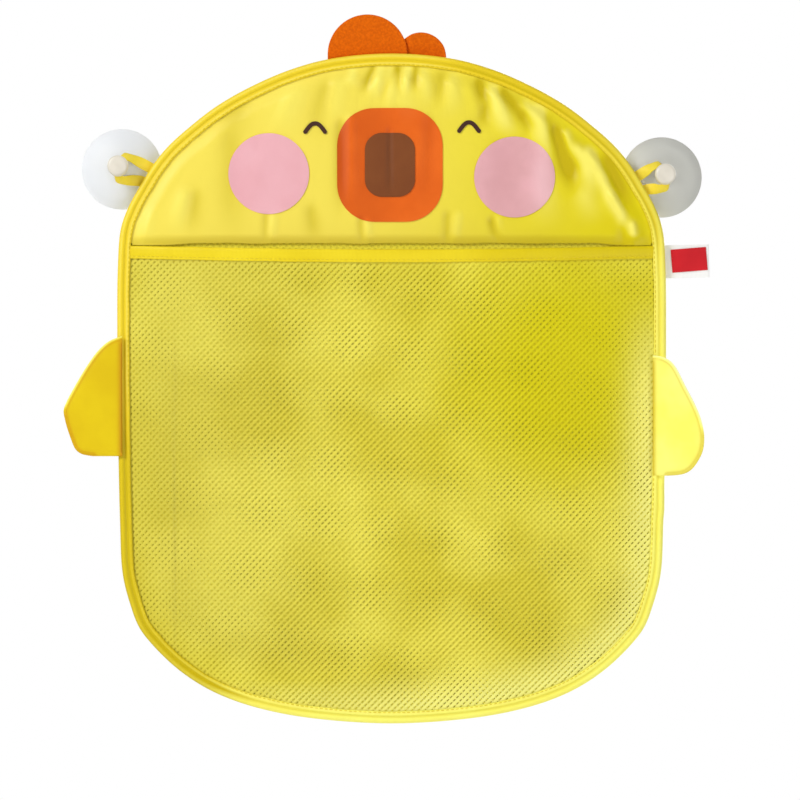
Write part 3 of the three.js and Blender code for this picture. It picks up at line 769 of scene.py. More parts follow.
@dataclass(frozen=True)
class PressedFilm(Finish):
    """Heat-pressed colour film: thin, soft satin, with the cloth's grain telling through."""

    low: str = "#e9aeb6"
    # deep and pale paint the shade and highlight of the head's folds through the film
    deep: str = "#dfa0a8"
    pale: str = "#f9ccd2"

    def surface(self, nodes: Nodes) -> dict[str, Any]:
        """Faint tone, painted shade and highlight, and grain."""
        tone = nodes.mottled(22.0, self.low, self.colour)
        return {"Base Color": nodes.toned(tone, self.deep, self.pale),
                "Normal": nodes.bump(nodes.noise(1.4, 2.0), 0.08, 0.3)}


@dataclass(frozen=True)
class SoftVinyl(Finish):
    """Soft PVC of the cups: milky and slightly see-through, with a moulded skin."""

    clear: float = 0.35

    def surface(self, nodes: Nodes) -> dict[str, Any]:
        """Part of the light passes through, and the skin's gloss is uneven.

        Args:
            nodes: Node tree of the material.

        Returns:
            Shader inputs, values or sockets.
        """
        skin = nodes.noise(6.0, 3.0)
        return {"Transmission Weight": self.clear, "IOR": 1.52,
                "Roughness": nodes.spread(skin, self.roughness - 0.06, self.roughness + 0.06),
                "Normal": nodes.bump(skin, 0.05, 0.3)}


@dataclass(frozen=True)
class MouldedPlastic(Finish):
    """Injection-moulded polystyrene: smooth satin skin with faint flow marks."""

    low: str = "#e6e0d2"

    def surface(self, nodes: Nodes) -> dict[str, Any]:
        """Faint tone and skin."""
        return {"Base Color": nodes.mottled(9.0, self.low, self.colour, 1.0),
                "Normal": nodes.bump(nodes.noise(1.5, 2.0), 0.04, 0.2)}


@dataclass(frozen=True)
class DrawnSteel(Finish):
    """Drawn spring steel wire: grey metal with uneven gloss."""

    def surface(self, nodes: Nodes) -> dict[str, Any]:
        """Metal whose gloss changes along it."""
        gloss = nodes.spread(nodes.noise(0.8, 4.0), self.roughness - 0.08, self.roughness + 0.1)
        return {"Metallic": 1.0, "Roughness": gloss}


@dataclass(frozen=True)
class Finishes:
    """Every finish of the organizer, made once and shared by its pieces."""

    head: Finish = WovenSatin("satin_cloth_yellow", "#e6d700", 0.4, low="#ddcc00",
                              deep="#c4ae00", pale="#fbef6c", from_left="#f3df56")
    # both wings are one cloth: the left wing's finish is a copy painted in shade, the right wing's
    # a copy painted in light
    wing_left: Finish = WovenSatin("satin_cloth_shaded", "#e6c806", 0.5, low="#dfbe02",
                                   cloud=30.0, deep="#c88400", pale="#fff870")
    wing_right: Finish = WovenSatin("satin_cloth_lit", "#fffc80", 0.5, low="#fff868",
                                    cloud=30.0, deep="#ccac00", pale="#ffffa8")
    tape: Finish = RibbedTape("woven_tape_yellow", "#fffd74", 0.45, low="#fff868",
                              golden="#f0d224", deep="#ccb400", pale="#fff27a")
    ribbon: Finish = RibbedTape("woven_ribbon_yellow", "#fbe448", 0.45, low="#f5d936")
    hem: Finish = RibbedTape("woven_tape_hem", "#f3db24", 0.45, low="#e9cf18",
                             deep="#d8c200")
    thread: Finish = RibbedTape("polyester_thread_yellow", "#ecd630", 0.6, low="#dcc420")
    net: Finish = KnitThread("knit_net_yellow", "#f9ed5c", 0.65)
    net_behind: Finish = NetBehind("knit_net_behind", "#fff25c", 0.75)
    felt: Finish = PressedFelt("pressed_felt_orange", "#e66a02", 1.0, 0.1, 0.1, low="#d45c01")
    cheek: Finish = PressedFilm("pressed_film_pink", "#edb3ba", 0.5, low="#e9acb3")
    # the right cheek is the same film as the left, painted in shade
    cheek_shaded: Finish = PressedFilm("pressed_film_pink_shaded", "#e6aeb3", 0.5, low="#dda6a9",
                                     deep="#cc9296", pale="#f5c8cc")
    beak: Finish = PressedFilm("pressed_film_orange", "#eb6a16", 0.45, low="#e26210",
                               deep="#c65006", pale="#ee7a35")
    mouth: Finish = PressedFilm("pressed_film_brown", "#7e451e", 0.5, low="#78401b",
                                deep="#653613", pale="#915930")
    eye: Finish = PressedFilm("pressed_film_dark_brown", "#42261b", 0.5, low="#3a2118",
                              deep="#2e1a12", pale="#4e3024")
    patch: Finish = PressedFilm("printed_patch_red", "#d01c26", 0.6, low="#c41822",
                                deep="#a5121a", pale="#dc3c44")
    label: Finish = RibbedTape("satin_tape_white", "#fbfbf9", 0.6, low="#f1f1ee", relief=0.1,
                               deep="#d8d6d0", pale="#ffffff")
    cup: Finish = SoftVinyl("soft_pvc_milky", "#f0f2f4", 0.5, specular=0.5)
    # the right cup is the same vinyl as the left, painted in shade
    cup_shaded: Finish = SoftVinyl("soft_pvc_shaded", "#c8c8c1", 0.42, specular=0.5)
    knob: Finish = MouldedPlastic("moulded_plastic_ivory", "#e3dccd", 0.3, specular=0.5,
                                  low="#dcd5c5")
    steel: Finish = DrawnSteel("spring_steel", "#8c9094", 0.35, specular=0.5)

    @cached_property
    def made(self) -> dict[str, bpy.types.Material]:
        """Material of each finish, by its name."""
        return {}

    def put(self, piece: Piece, finish: Finish, slot: str = "", node: str = "",
            body: str = "") -> None:
        """Give a piece one finish all over, hide the CAD node that it replaces, if any, and attach
        it to its body.

        Args:
            piece: The piece to dress.
            finish: One of the finishes above.
            slot: Not used.
            node: CAD node that the piece replaces, if any.
            body: Body that the piece rides, unless it is spread over two.
        """
        if finish.name not in self.made:
            self.made[finish.name] = finish.make()
        piece.data.materials.clear()
        piece.data.materials.append(self.made[finish.name])
        if node:
            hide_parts(node)
        if body:
            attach(piece, body)


# The bag's line and the shape of its sheets


@dataclass(frozen=True)
class Outline:
    """Outer edge of the bound rim, with the sheets' heights above its seam plane, in mm."""

    width: float = 355.6
    height: float = 434.0
    top: float = 76.4
    steps: int = 480
    seam_inset: float = 8.7
    sheet_out: float = 1.65
    hem_drop: float = 124.7  # from the rim's top to the ends of the pocket's top edge
    hem_sag: float = 3.2
    hem_height: float = 8.2
    head_drop: float = 123.1  # from the rim's top to the head's lower edge
    shares: Points = (
        (0, 0), (0.219, 0.0076), (0.378, 0.0255), (0.536, 0.0544), (0.641, 0.0797),
        (0.718, 0.1037), (0.809, 0.1365), (0.864, 0.1634), (0.918, 0.1984), (0.962, 0.232),
        (0.9875, 0.2634), (0.998, 0.3226), (1, 0.4126), (0.9985, 0.5172), (0.99, 0.6963),
        (0.98, 0.7769), (0.9505, 0.8249), (0.9205, 0.8562), (0.877, 0.8802),
        (0.7835, 0.9175), (0.6817, 0.9459), (0.5687, 0.9666), (0.423, 0.9832),
        (0.248, 0.9942),
    )

    @property
    def hem_level(self) -> float:
        """Height of the ends of the pocket's top edge."""
        return self.top - self.hem_drop

    @property
    def head_level(self) -> float:
        """Height of the head's lower edge."""
        return self.top - self.head_drop

    @cached_property
    def rim(self) -> np.ndarray:
        """Points of the outer edge, from the top down the right side and round."""
        right = [(a * self.width / 2, self.top - d * self.height) for a, d in self.shares]
        left = [(-x, z) for x, z in right[:0:-1]]
        return spline(np.array(right + [(0, self.top - self.height)] + left), True, self.steps)

    @cached_property
    def inward(self) -> np.ndarray:
        """Unit direction into the bag at each point of the rim."""
        along = unit(np.roll(self.rim, -1, 0) - np.roll(self.rim, 1, 0))
        return np.stack([along[:, 1], -along[:, 0]], axis=1)

    @cached_property
    def run(self) -> np.ndarray:
        """Distance along the rim to each of its points, and round to the first again."""
        return run_of(closed(self.rim))

    def inset(self, by: float) -> np.ndarray:
        """Closed line at a distance inside the outer edge."""
        return self.rim + self.inward * by

    def nearest(self, points: np.ndarray) -> tuple[np.ndarray, np.ndarray]:
        """Find how far points are from the rim, and which way leads inwards.

        Args:
            points: Array of x and z pairs, mm.

        Returns:
            Distance of each point, negative outside, and its inward direction.
        """
        away, way = np.empty(len(points)), np.empty((len(points), 2))
        spans = np.roll(self.rim, -1, 0) - self.rim
        lengths = (spans ** 2).sum(1)
        batch = 4000  # points at a time, to keep the arrays small
        for first in range(0, len(points), batch):
            offset = points[first:first + batch, None] - self.rim[None]
            share = np.clip((offset * spans[None]).sum(2) / lengths[None], 0, 1)
            gap = offset - share[..., None] * spans[None]
            span = np.sqrt((gap ** 2).sum(2))
            best = span.argmin(1)
            rows = np.arange(len(offset))
            direction = self.inward[best]
            sign = np.sign((gap[rows, best] * direction).sum(1))
            away[first:first + batch] = span[rows, best] * np.where(sign < 0, -1, 1)
            way[first:first + batch] = direction
        return away, way

    def half_width(self, by: float, z: float) -> float:
        """Half width of the line at an inset, at one height.

        Args:
            by: Inset from the outer edge, mm.
            z: The height.

        Returns:
            Distance from the bag's middle to the line.
        """
        half = self.inset(by)[:self.steps // 2 + 1]
        below = int(np.argmax(half[:, 1] <= z))
        a, b = half[below - 1], half[below]
        return float(a[0] + (z - a[1]) / (b[1] - a[1]) * (b[0] - a[0]))

    def head_arc(self, by: float, columns: int) -> np.ndarray:
        """Part of the line at an inset above the head's lower edge, from left to right.

        Args:
            by: Inset from the outer edge.
            columns: Number of points, evenly spaced.

        Returns:
            Array of x and z pairs.
        """
        ordered = np.roll(self.inset(by), -(self.steps // 2), 0)
        kept = ordered[ordered[:, 1] > self.head_level]
        reach = self.half_width(by, self.head_level)
        ends = [[(side * reach, self.head_level)] for side in (-1, 1)]
        return evenly(np.concatenate([ends[0], kept, ends[1]]), columns)

    def hem_at(self, x: np.ndarray) -> np.ndarray:
        """Height of the pocket's top edge."""
        reach = self.half_width(self.seam_inset, self.hem_level)
        return self.hem_level - self.hem_sag * (1 - (x / reach) ** 2)

    def pocket_y(self, points: np.ndarray) -> np.ndarray:
        """Depth coordinate of the pocket's front face at x and z pairs.

        Args:
            points: x and z pairs, mm.

        Returns:
            Depth coordinate of each.
        """
        inside = self.nearest(points)[0] - self.seam_inset
        filled = 1 - (1 - np.clip(inside / 110, 0, 1)) ** 2
        low = self.hem_level - self.hem_sag - self.hem_height
        belly = 12 + 5 * smooth((low - points[:, 1]) / 120)
        return -DEPTH - self.sheet_out - np.where(inside > 0, filled * belly, 0)


@dataclass(frozen=True)
class Fold:
    """A soft fold or valley in the head cloth, from one point to another, in mm."""

    x1: float
    z1: float
    x2: float
    z2: float
    width: float
    height: float

    def lift(self, points: np.ndarray) -> np.ndarray:
        """Height that the fold adds at x and z pairs.

        Args:
            points: x and z pairs, mm.

        Returns:
            Height at each of them.
        """
        start = np.array([self.x1, self.z1])
        span = np.array([self.x2, self.z2]) - start
        length = float(np.linalg.norm(span))
        ahead = span / length
        gap = points - start
        along = gap @ ahead
        across = gap @ np.array([-ahead[1], ahead[0]])
        ends = smooth((along + self.width) / (2.5 * self.width)) \
            * smooth((length + self.width * 2 - along) / (length * 0.5 + self.width * 2))
        spread = self.width * (1 + 0.5 * np.clip(along / length, 0, 1))
        return self.height * np.exp(-(across / spread) ** 2) * ends


HEAD_FOLDS = [Fold(*row) for row in (
    (-24.4, 68.4, -26.4, 56.7, 2.6, 0.9), (-10.8, 69.7, -17.9, 51.5, 2.4, -1.0),
    (-6.9, 69.7, -11.5, 47.6, 3.0, 1.0), (2.5, 69.7, -3.7, 46.3, 2.4, -1.0),
    (0.2, 69.7, -1.7, 41.1, 2.6, 0.9), (4.1, 68.4, 6.0, 48.9, 2.0, -1.0),
    (11.9, 69.7, 8.0, 51.5, 2.6, 1.1), (15.1, 69.7, 15.7, 52.8, 2.2, -1.0),
    (33.2, 65.8, 31.9, 43.7, 4.5, -0.7), (39.1, 64.5, 37.1, 39.9, 4.5, 0.7),
    (55.3, 60.6, 61.1, 43.7, 3.2, -1.3), (61.1, 43.7, 59.2, 30.8, 3.2, -0.8),
    (63.7, 56.7, 75.4, 24.3, 4.0, 1.2), (70.2, 54.1, 85.7, 34.7, 2.8, -1.3),
    (83.1, 38.6, 91.6, 25.6, 3.2, -1.0), (93.5, 43.7, 104.5, 20.4, 3.6, 1.2),
    (99.3, 37.3, 109.7, 13.9, 3.6, -1.1), (109.1, 15.2, 118.8, -9.4, 5.0, -0.9),
    (112.3, 26.9, 117.5, 6.2, 2.4, 0.9), (125.9, 15.2, 136.3, -4.2, 3.2, 1.4),
    (135.0, -1.6, 145.3, -23.7, 3.6, 1.2), (137.6, 11.3, 154.4, -24.9, 4.2, -1.2),
    (118.8, 1.0, 128.5, -28.2, 5.0, 0.6), (155.7, -32.7, 157.0, -54.0, 2.2, 0.7),
    (151.2, -28.2, 149.2, -52.0, 3.0, -0.6), (63.7, -30.1, 71.2, -50.0, 2.4, -0.8),
    (68.9, -28.8, 68.9, -52.0, 2.4, 0.35), (35.8, -26.2, 35.8, -52.0, 2.6, -0.5),
    (43.6, -26.2, 39.7, -52.0, 2.4, 0.35), (-81.5, -27.5, -80.2, -52.0, 2.4, -0.45),
    (-75.6, -27.5, -79.5, -52.0, 2.6, 0.4), (-132.0, -12.0, -137.8, -36.6, 5.0, 0.7),
    (-126.2, -12.0, -130.7, -36.6, 5.0, -0.6), (-20.5, -30.1, -17.3, -52.0, 2.2, -0.5),
    (-15.4, -30.1, -16.0, -52.0, 2.4, 0.4), (-98.9, 61.9, -104.1, 24.9, 7.0, -0.5),
    (-103.5, 24.9, -102.2, -41.1, 7.0, -0.4), (-40.0, 59.3, -47.8, 26.9, 6.0, -0.5),
    (-33.5, 60.6, -40.0, 30.1, 5.0, 0.5), (-156.6, -24.9, -161.2, -41.8, 5.0, 0.4),
    (-52.9, -21.7, -49.1, -43.1, 4.0, -0.5), (-26.0, 36.0, -26.5, -29.0, 3.0, 0.5),
    (-33.5, 34.0, -32.5, -30.0, 3.4, -0.6), (-1.5, 28.0, -1.0, -22.0, 1.6, -0.4),
    (24.0, 36.0, 23.0, -26.0, 4.0, -0.4), (72.0, 24.0, 71.0, -26.0, 9.0, -0.4),
    (97.0, 8.0, 99.0, -30.0, 6.0, 0.5), (0.0, 66.0, 12.0, 38.0, 5.0, 0.5),
    (-60.0, 58.0, -72.0, 30.0, 7.0, 0.5), (20.0, 68.0, 24.0, 44.0, 3.4, 0.6),
    (141.0, -14.0, 156.0, -43.0, 3.0, 1.4), (105.0, 30.0, 121.0, -14.0, 3.6, -0.9),
    (119.0, 17.0, 131.0, -12.0, 3.2, 0.9), (86.0, 46.0, 104.0, 6.0, 4.0, 0.8),
)]


# Pieces


@dataclass
class Rim:
    """The folded tape round the bag, its stitching and the wire in its fold."""

    line: Outline
    dress: Finishes
    fold: float = 2.85
    stitch_inset: float = 7.3
    stitch_pitch: float = 3.2
    stitch_out: float = 2.82  # from the bag's middle plane to the stitches
    thread: float = 0.55
    lap_height: float = -211.0  # where the tape's two ends overlap, on the right side
    lap_length: float = 17.0

    def section(self) -> list[tuple[float, float]]:
        """Section of the tape: distance in from the edge, and forward of the middle.

        Returns:
            Points round the whole section, from the edge of the front leg.
        """
        front = [(8.1, 1.95), (8.16, 2.25), (8.0, 2.58), (7.5, 2.7), (7.0, 2.62), (6.3, 2.76),
                 (5.7, 2.66), (5.25, 2.42), (4.9, 2.26), (4.7, 2.28)]
        turn = np.radians([52, 62, 74, 86, 98, 112, 126, 142, 160, 180])
        front += [(self.fold * (1 + math.cos(t)), self.fold * math.sin(t)) for t in turn]
        inner = [(5.2, -1.9), (4.7, -1.75), (4.0, -1.8)]
        turn = np.radians([-80, -135, 180, 135, 80])
        inner += [(self.fold + 2.15 * math.cos(t), 2.15 * math.sin(t)) for t in turn]
        inner += [(4.0, 1.8), (4.7, 1.75), (5.2, 1.9)]
        return front + [(u, -v) for u, v in reversed(front[:-1])] + inner

    def lap(self) -> np.ndarray:
        """How far the overlapped end of the tape swells, from 0 to 1, along the rim.

        Returns:
            Share of the swelling at each point of the rim.
        """
        x, z = self.line.rim.T
        inside = smooth((self.lap_height - z) / 1.6) \
            * smooth((z - self.lap_height + self.lap_length) / 12)
        return np.where(x > 0, inside, 0)

    def tape(self) -> Piece:
        """Model the tape round the whole rim.

        Returns:
            The new closed piece.
        """
        run, lap = self.line.run[:-1], self.lap()
        # the tape turns away from the light at the lower left and at the upper right
        x, z = closed(self.line.rim).T
        shaded = 0.9 * smooth((-x - 80) / 50) * smooth((-z - 130) / 70) \
            + 0.4 * smooth((x - 20) / 40) * smooth((z + 60) / 30)
        rows, shade_and_tones = [], []
        for u, v in self.section():
            # painted shade in the tape's creases and painted highlight on its fold and its leg
            crease = bell(u, 4.6, 0.9) + 0.8 * bell(u, 8.1, 0.3)
            light = bell(u, 6.6, 0.7) + 0.7 * bell(u, 1.8, 0.9)
            shade_and_tones.append(0.45 * crease - 0.45 * light + shaded)
            # the sewn leg puckers a little between the stitches, and the fold stays round
            leg = smooth((u - 4.5) / 3)
            swell = 0.5 * lap * (1 if u < 5 else 0.3)
            wave = ripple(run, 17, 0.4 if v > 0 else 2.2) * (0.05 + 0.16 * leg)
            inset = u + ripple(run, 31, 1.3) * 0.14 * leg - swell
            height = v + (np.sign(v) * (wave + swell * 0.4) if abs(v) > 1.0 else 0)
            rows.append(closed(stand(self.line.rim + self.line.inward * inset[:, None],
                                     -DEPTH - height)))
        piece = grid_piece("binding_tape", closed(np.array(rows)), (float(self.line.run[-1]), 30.0),
                           closed(np.array(shade_and_tones)))
        tidy_mesh(piece)
        shade(piece, 60)
        return piece

    def stitches(self, word: str, side: float) -> Piece:
        """Model the row of stitches on one leg of the tape.

        Args:
            word: Name of the leg.
            side: Sign of y on which the leg lies.

        Returns:
            The new piece.
        """
        length = float(self.line.run[-1])
        count = int(length / self.stitch_pitch)
        even = (np.arange(count) + 0.5) / count * length
        loop = closed(self.line.inset(self.stitch_inset))
        flat = sample(loop, self.line.run, even)
        ahead = sample(loop, self.line.run, even + 1) - flat
        ahead[-1] = ahead[-2]
        places = stand(flat, -DEPTH + side * self.stitch_out)
        out = np.tile([0.0, side, 0.0], (count, 1))
        return stitch_row(f"binding_stitches_{word}", places, stand(ahead, 0.0), out,
                          self.stitch_pitch * 0.8, self.thread)

    def build(self) -> None:
        """Model and dress the rim."""
        self.dress.put(self.tape(), self.dress.tape, "yellow_tape", "edge_binding", "bag")
        for word, side in (("front", -1.0), ("back", 1.0)):
            self.dress.put(self.stitches(word, side), self.dress.thread, "yellow_tape",
                           body="bag")
        for node in ("frame_wire", "wire_ferrule"):
            self.dress.put(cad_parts[node], self.dress.steel)
        LOG.info("rim: tape, two rows of stitches, wire and ferrule")


@dataclass
class Head:
    """The yellow cloth front of the head, with puckers from its seam and a curled lower edge."""

    line: Outline
    dress: Finishes
    crown: float = 2.4  # height of the plain cloth above its seam
    turn: float = 6.0  # height over which the lower edge curls back
    rise_reach: float = 9.0
    fan_depth: float = 118.0  # below the rim's top, where the lines of the gathers meet
    hidden_inset: float = 5.2  # from the rim's outer edge to the cloth's, in the binding
    hang: float = 1.2  # how much lower the cloth hangs at both ends
    thickness: float = 0.6
    columns: int = 360
    rows: int = 80
    fold_share: float = 2.0
    folds: list[Fold] = field(default_factory=lambda: HEAD_FOLDS)

    def lift(self, points: np.ndarray) -> np.ndarray:
        """Height that all folds together add at x and z pairs."""
        return sum(fold.lift(points) for fold in self.folds)

    def front_y(self, points: np.ndarray, above: float = 0.0) -> np.ndarray:
        """Depth coordinate of the head's front face, or of what lies a bit above it.

        Args:
            points: x and z pairs, mm.
            above: Height above the front face.

        Returns:
            Depth coordinate of each point.
        """
        x, z = points.T
        inside = self.line.nearest(points)[0] - self.line.seam_inset
        risen = smooth(inside / self.rise_reach)
        curled = 0.6 + 0.4 * smooth((z - self.line.head_level) / self.turn)
        spread = np.degrees(np.arctan2(x, self.line.top + self.fan_depth - z))
        # fine gathers at the seam, strongest over the beak and on the right
        strong = 0.35 + 0.65 * smooth((x + 60) / 90)
        fine = ripple(spread, 3.1, 0.7) * 0.35 * strong * np.exp(-np.maximum(inside, 0) / 12)
        broad = ripple(spread, 7.6, 2.0) * 0.3 * np.exp(-np.maximum(inside, 0) / 36)
        height = self.crown + fine + broad + self.fold_share * self.lift(points)
        return -DEPTH - self.line.sheet_out - risen * curled * np.maximum(height, 0.3) - above

    def shade_and_tone(self, points: np.ndarray) -> np.ndarray:
        """Painted shade in the valleys and painted highlight on the ridges, and a deeper colour
        along the turned edge.
        """
        turned = 1 - smooth((points[:, 1] - self.line.head_level) / 7)
        return np.clip(-0.95 * self.lift(points), -0.9, 0.95) * (1 - turned) + 0.5 * turned

    def cloth(self) -> Piece:
        """Model the cloth from its lower edge up to the seam and in under the binding.

        Returns:
            The new closed piece.
        """
        seam = self.line.head_arc(self.line.seam_inset, self.columns)
        border = self.line.head_arc(self.hidden_inset, self.columns)
        edge = pairs(np.linspace(seam[0, 0], seam[-1, 0], self.columns), self.line.head_level)
        # at both ends the cloth hangs down onto the hem
        ends = smooth((np.abs(edge[:, 0]) - 128) / 20)
        edge[:, 1] += ripple(edge[:, 0], 60, 0.9) * 0.35 - self.hang * ends
        flat = [edge * (1 - s) + seam * s for s in np.linspace(0, 1, self.rows)] + [border]
        grid = [stand(row, self.front_y(row)) for row in flat]
        roll = grid[0] + (0, 0.9, 0.5)  # the lower edge turns back in a small roll
        piece = grid_piece("head_cloth", [roll] + grid, (340.0, 125.0),
                           [self.shade_and_tone(row) for row in flat[:1] + flat])
        thicken(piece, self.thickness)
        shade(piece, 70)
        return piece

    def build(self) -> None:
        """Model and dress the head cloth."""
        piece = self.cloth()
        self.dress.put(piece, self.dress.head, "yellow_cloth", "head_panel", "bag")
        LOG.info("head: one cloth with %d folds", len(self.folds))


@dataclass
class Face:
    """The pressed films on the head: cheeks, eyes, beak and mouth."""

    head: Head
    dress: Finishes
    film: float = 0.3
    lift: float = 0.35  # back of a film above the cloth
    rings: int = 22
    cheek_radius: float = 26.1
    cheek_out: float = 79.4  # from the bag's middle to a cheek's
    stroke: float = 1.35  # half width of an eye's stroke

    def film_piece(self, name: str, flats: Sequence[np.ndarray], heights: Sequence[float],
                   sizes: tuple[float, float], shade_and_tones: Sequence[np.ndarray] | None = None
                   ) -> Piece:
        """Lay a film over the head.

        Args:
            name: Name of the piece.
            flats: Rows of x and z pairs.
            heights: Front of the film above the cloth at each row.
            sizes: Width and length for the UV map.
            shade_and_tones: Painted shade and highlight, with some tone, at each point.

        Returns:
            The new closed film.
        """
        rows = [stand(flat, self.head.front_y(flat, height))
                for flat, height in zip(flats, heights)]
        return sheet_piece(name, rows, sizes, self.film, shade_and_tones)

    def disc(self, name: str, centre: tuple[float, float], outline: np.ndarray,
             height: float, deeper: float = 0.0) -> Piece:
        """Model a film inside a star-shaped outline.

        Args:
            name: Name of the piece.
            centre: Point inside the outline, x and z.
            outline: Points round the film from its centre, x and z.
            height: Front of the film above the cloth.
            deeper: How much deeper the film's left side is.

        Returns:
            The new closed film.
        """
        shares = np.linspace(0, 1, self.rings) ** 0.8
        flats = [np.array(centre) + closed(outline) * share for share in shares]
        # the head's painted fold shade and highlight carry on over the film, and its left side is
        # deeper
        shade_and_tones = [self.head.shade_and_tone(flat) + deeper * smooth((8 - flat[:, 0]) / 24)
                 for flat in flats]
        heights = [height] * (self.rings - 1) + [height - 0.12]  # its edge is pressed down
        return self.film_piece(name, flats, heights, (60.0, 60.0), shade_and_tones)

    @staticmethod
    def rounded(width: float, height: float, corner: float) -> np.ndarray:
        """Outline of a rectangle with round corners about its centre, with even steps.

        Args:
            width: Width of the rectangle, mm.
            height: Its height.
            corner: Radius of its corners.

        Returns:
            Points round it, x and z, with the first not repeated.
        """
        points = []
        for index, (across, up) in enumerate(((1, 1), (-1, 1), (-1, -1), (1, -1))):
            middle = np.array([across * (width / 2 - corner), up * (height / 2 - corner)])
            for share in np.linspace(0, 1, 13):
                angle = (index + share) * math.pi / 2
                points.append(middle + corner * np.array([math.cos(angle), math.sin(angle)]))
        return evenly(closed(np.array(points)), 121)[:-1]

    def eye(self, side: Side) -> Piece:
        """Model one closed eye: a bent stroke with round ends.

        Args:
            side: Side of the head.

        Returns:
            The new closed film.
        """
        x, top = (-49.4, 30.6) if side is Side.LEFT else (50.0, 31.2)
        bend = [(7.2, -6.7), (5.1, -3.8), (3.3, -1.6), (1.6, -0.35)]
        points = [(x - u, top + v) for u, v in bend] + [(x, top)]
        points += [(x + u, top + v) for u, v in reversed(bend)]
        spine = spline(np.array(points), False, 48)
        run = run_of(spine)
        ahead = unit(np.gradient(spine, axis=0))
        across = np.stack([-ahead[:, 1], ahead[:, 0]], axis=1)
        end = np.clip(self.stroke - np.minimum(run, run[-1] - run), 0, self.stroke)
        wide = np.sqrt(np.clip(self.stroke ** 2 - end ** 2, 0.01, None))
        flats = [spine + across * (wide * k)[:, None] for k in np.linspace(-1, 1, 7)]
        return self.film_piece(f"{side.word}_eye", flats, [self.lift + self.film] * 7,
                               (18.0, 3.0))

    def build(self) -> None:
        """Model and dress every film."""
        first, top, dress = self.lift + self.film, self.head.line.top, self.dress
        turn = np.linspace(0, 2 * math.pi, 97)[:-1]
        ring = np.stack([np.cos(turn), np.sin(turn)], axis=1) * self.cheek_radius
        made = []
        # the right cheek gets the copy of the film painted in shade
        for side, drop, pink in ((Side.LEFT, 78.3, dress.cheek),
                                 (Side.RIGHT, 80.5, dress.cheek_shaded)):
            centre = (side.value * self.cheek_out, top - drop)
            cheek = self.disc(f"{side.word}_cheek", centre, ring, first)
            made.append((cheek, pink, "pink_film", f"{side.word}_cheek_patch"))
            made.append((self.eye(side), dress.eye, "eye_film", f"{side.word}_eye_patch"))
        centre = (-1.1, top - 72.7)
        beak = self.disc("beak", centre, self.rounded(68.2, 73.5, 24), first, 0.5)
        made.append((beak, dress.beak, "orange_film", "beak_patch"))
        mouth = self.disc("mouth", centre, self.rounded(32.3, 41.3, 11), first * 2)
        made.append((mouth, dress.mouth, "brown_film", "mouth_patch"))
        for piece, finish, slot, node in made:
            dress.put(piece, finish, slot, node, "bag")
        LOG.info("face: %d films", len(made))


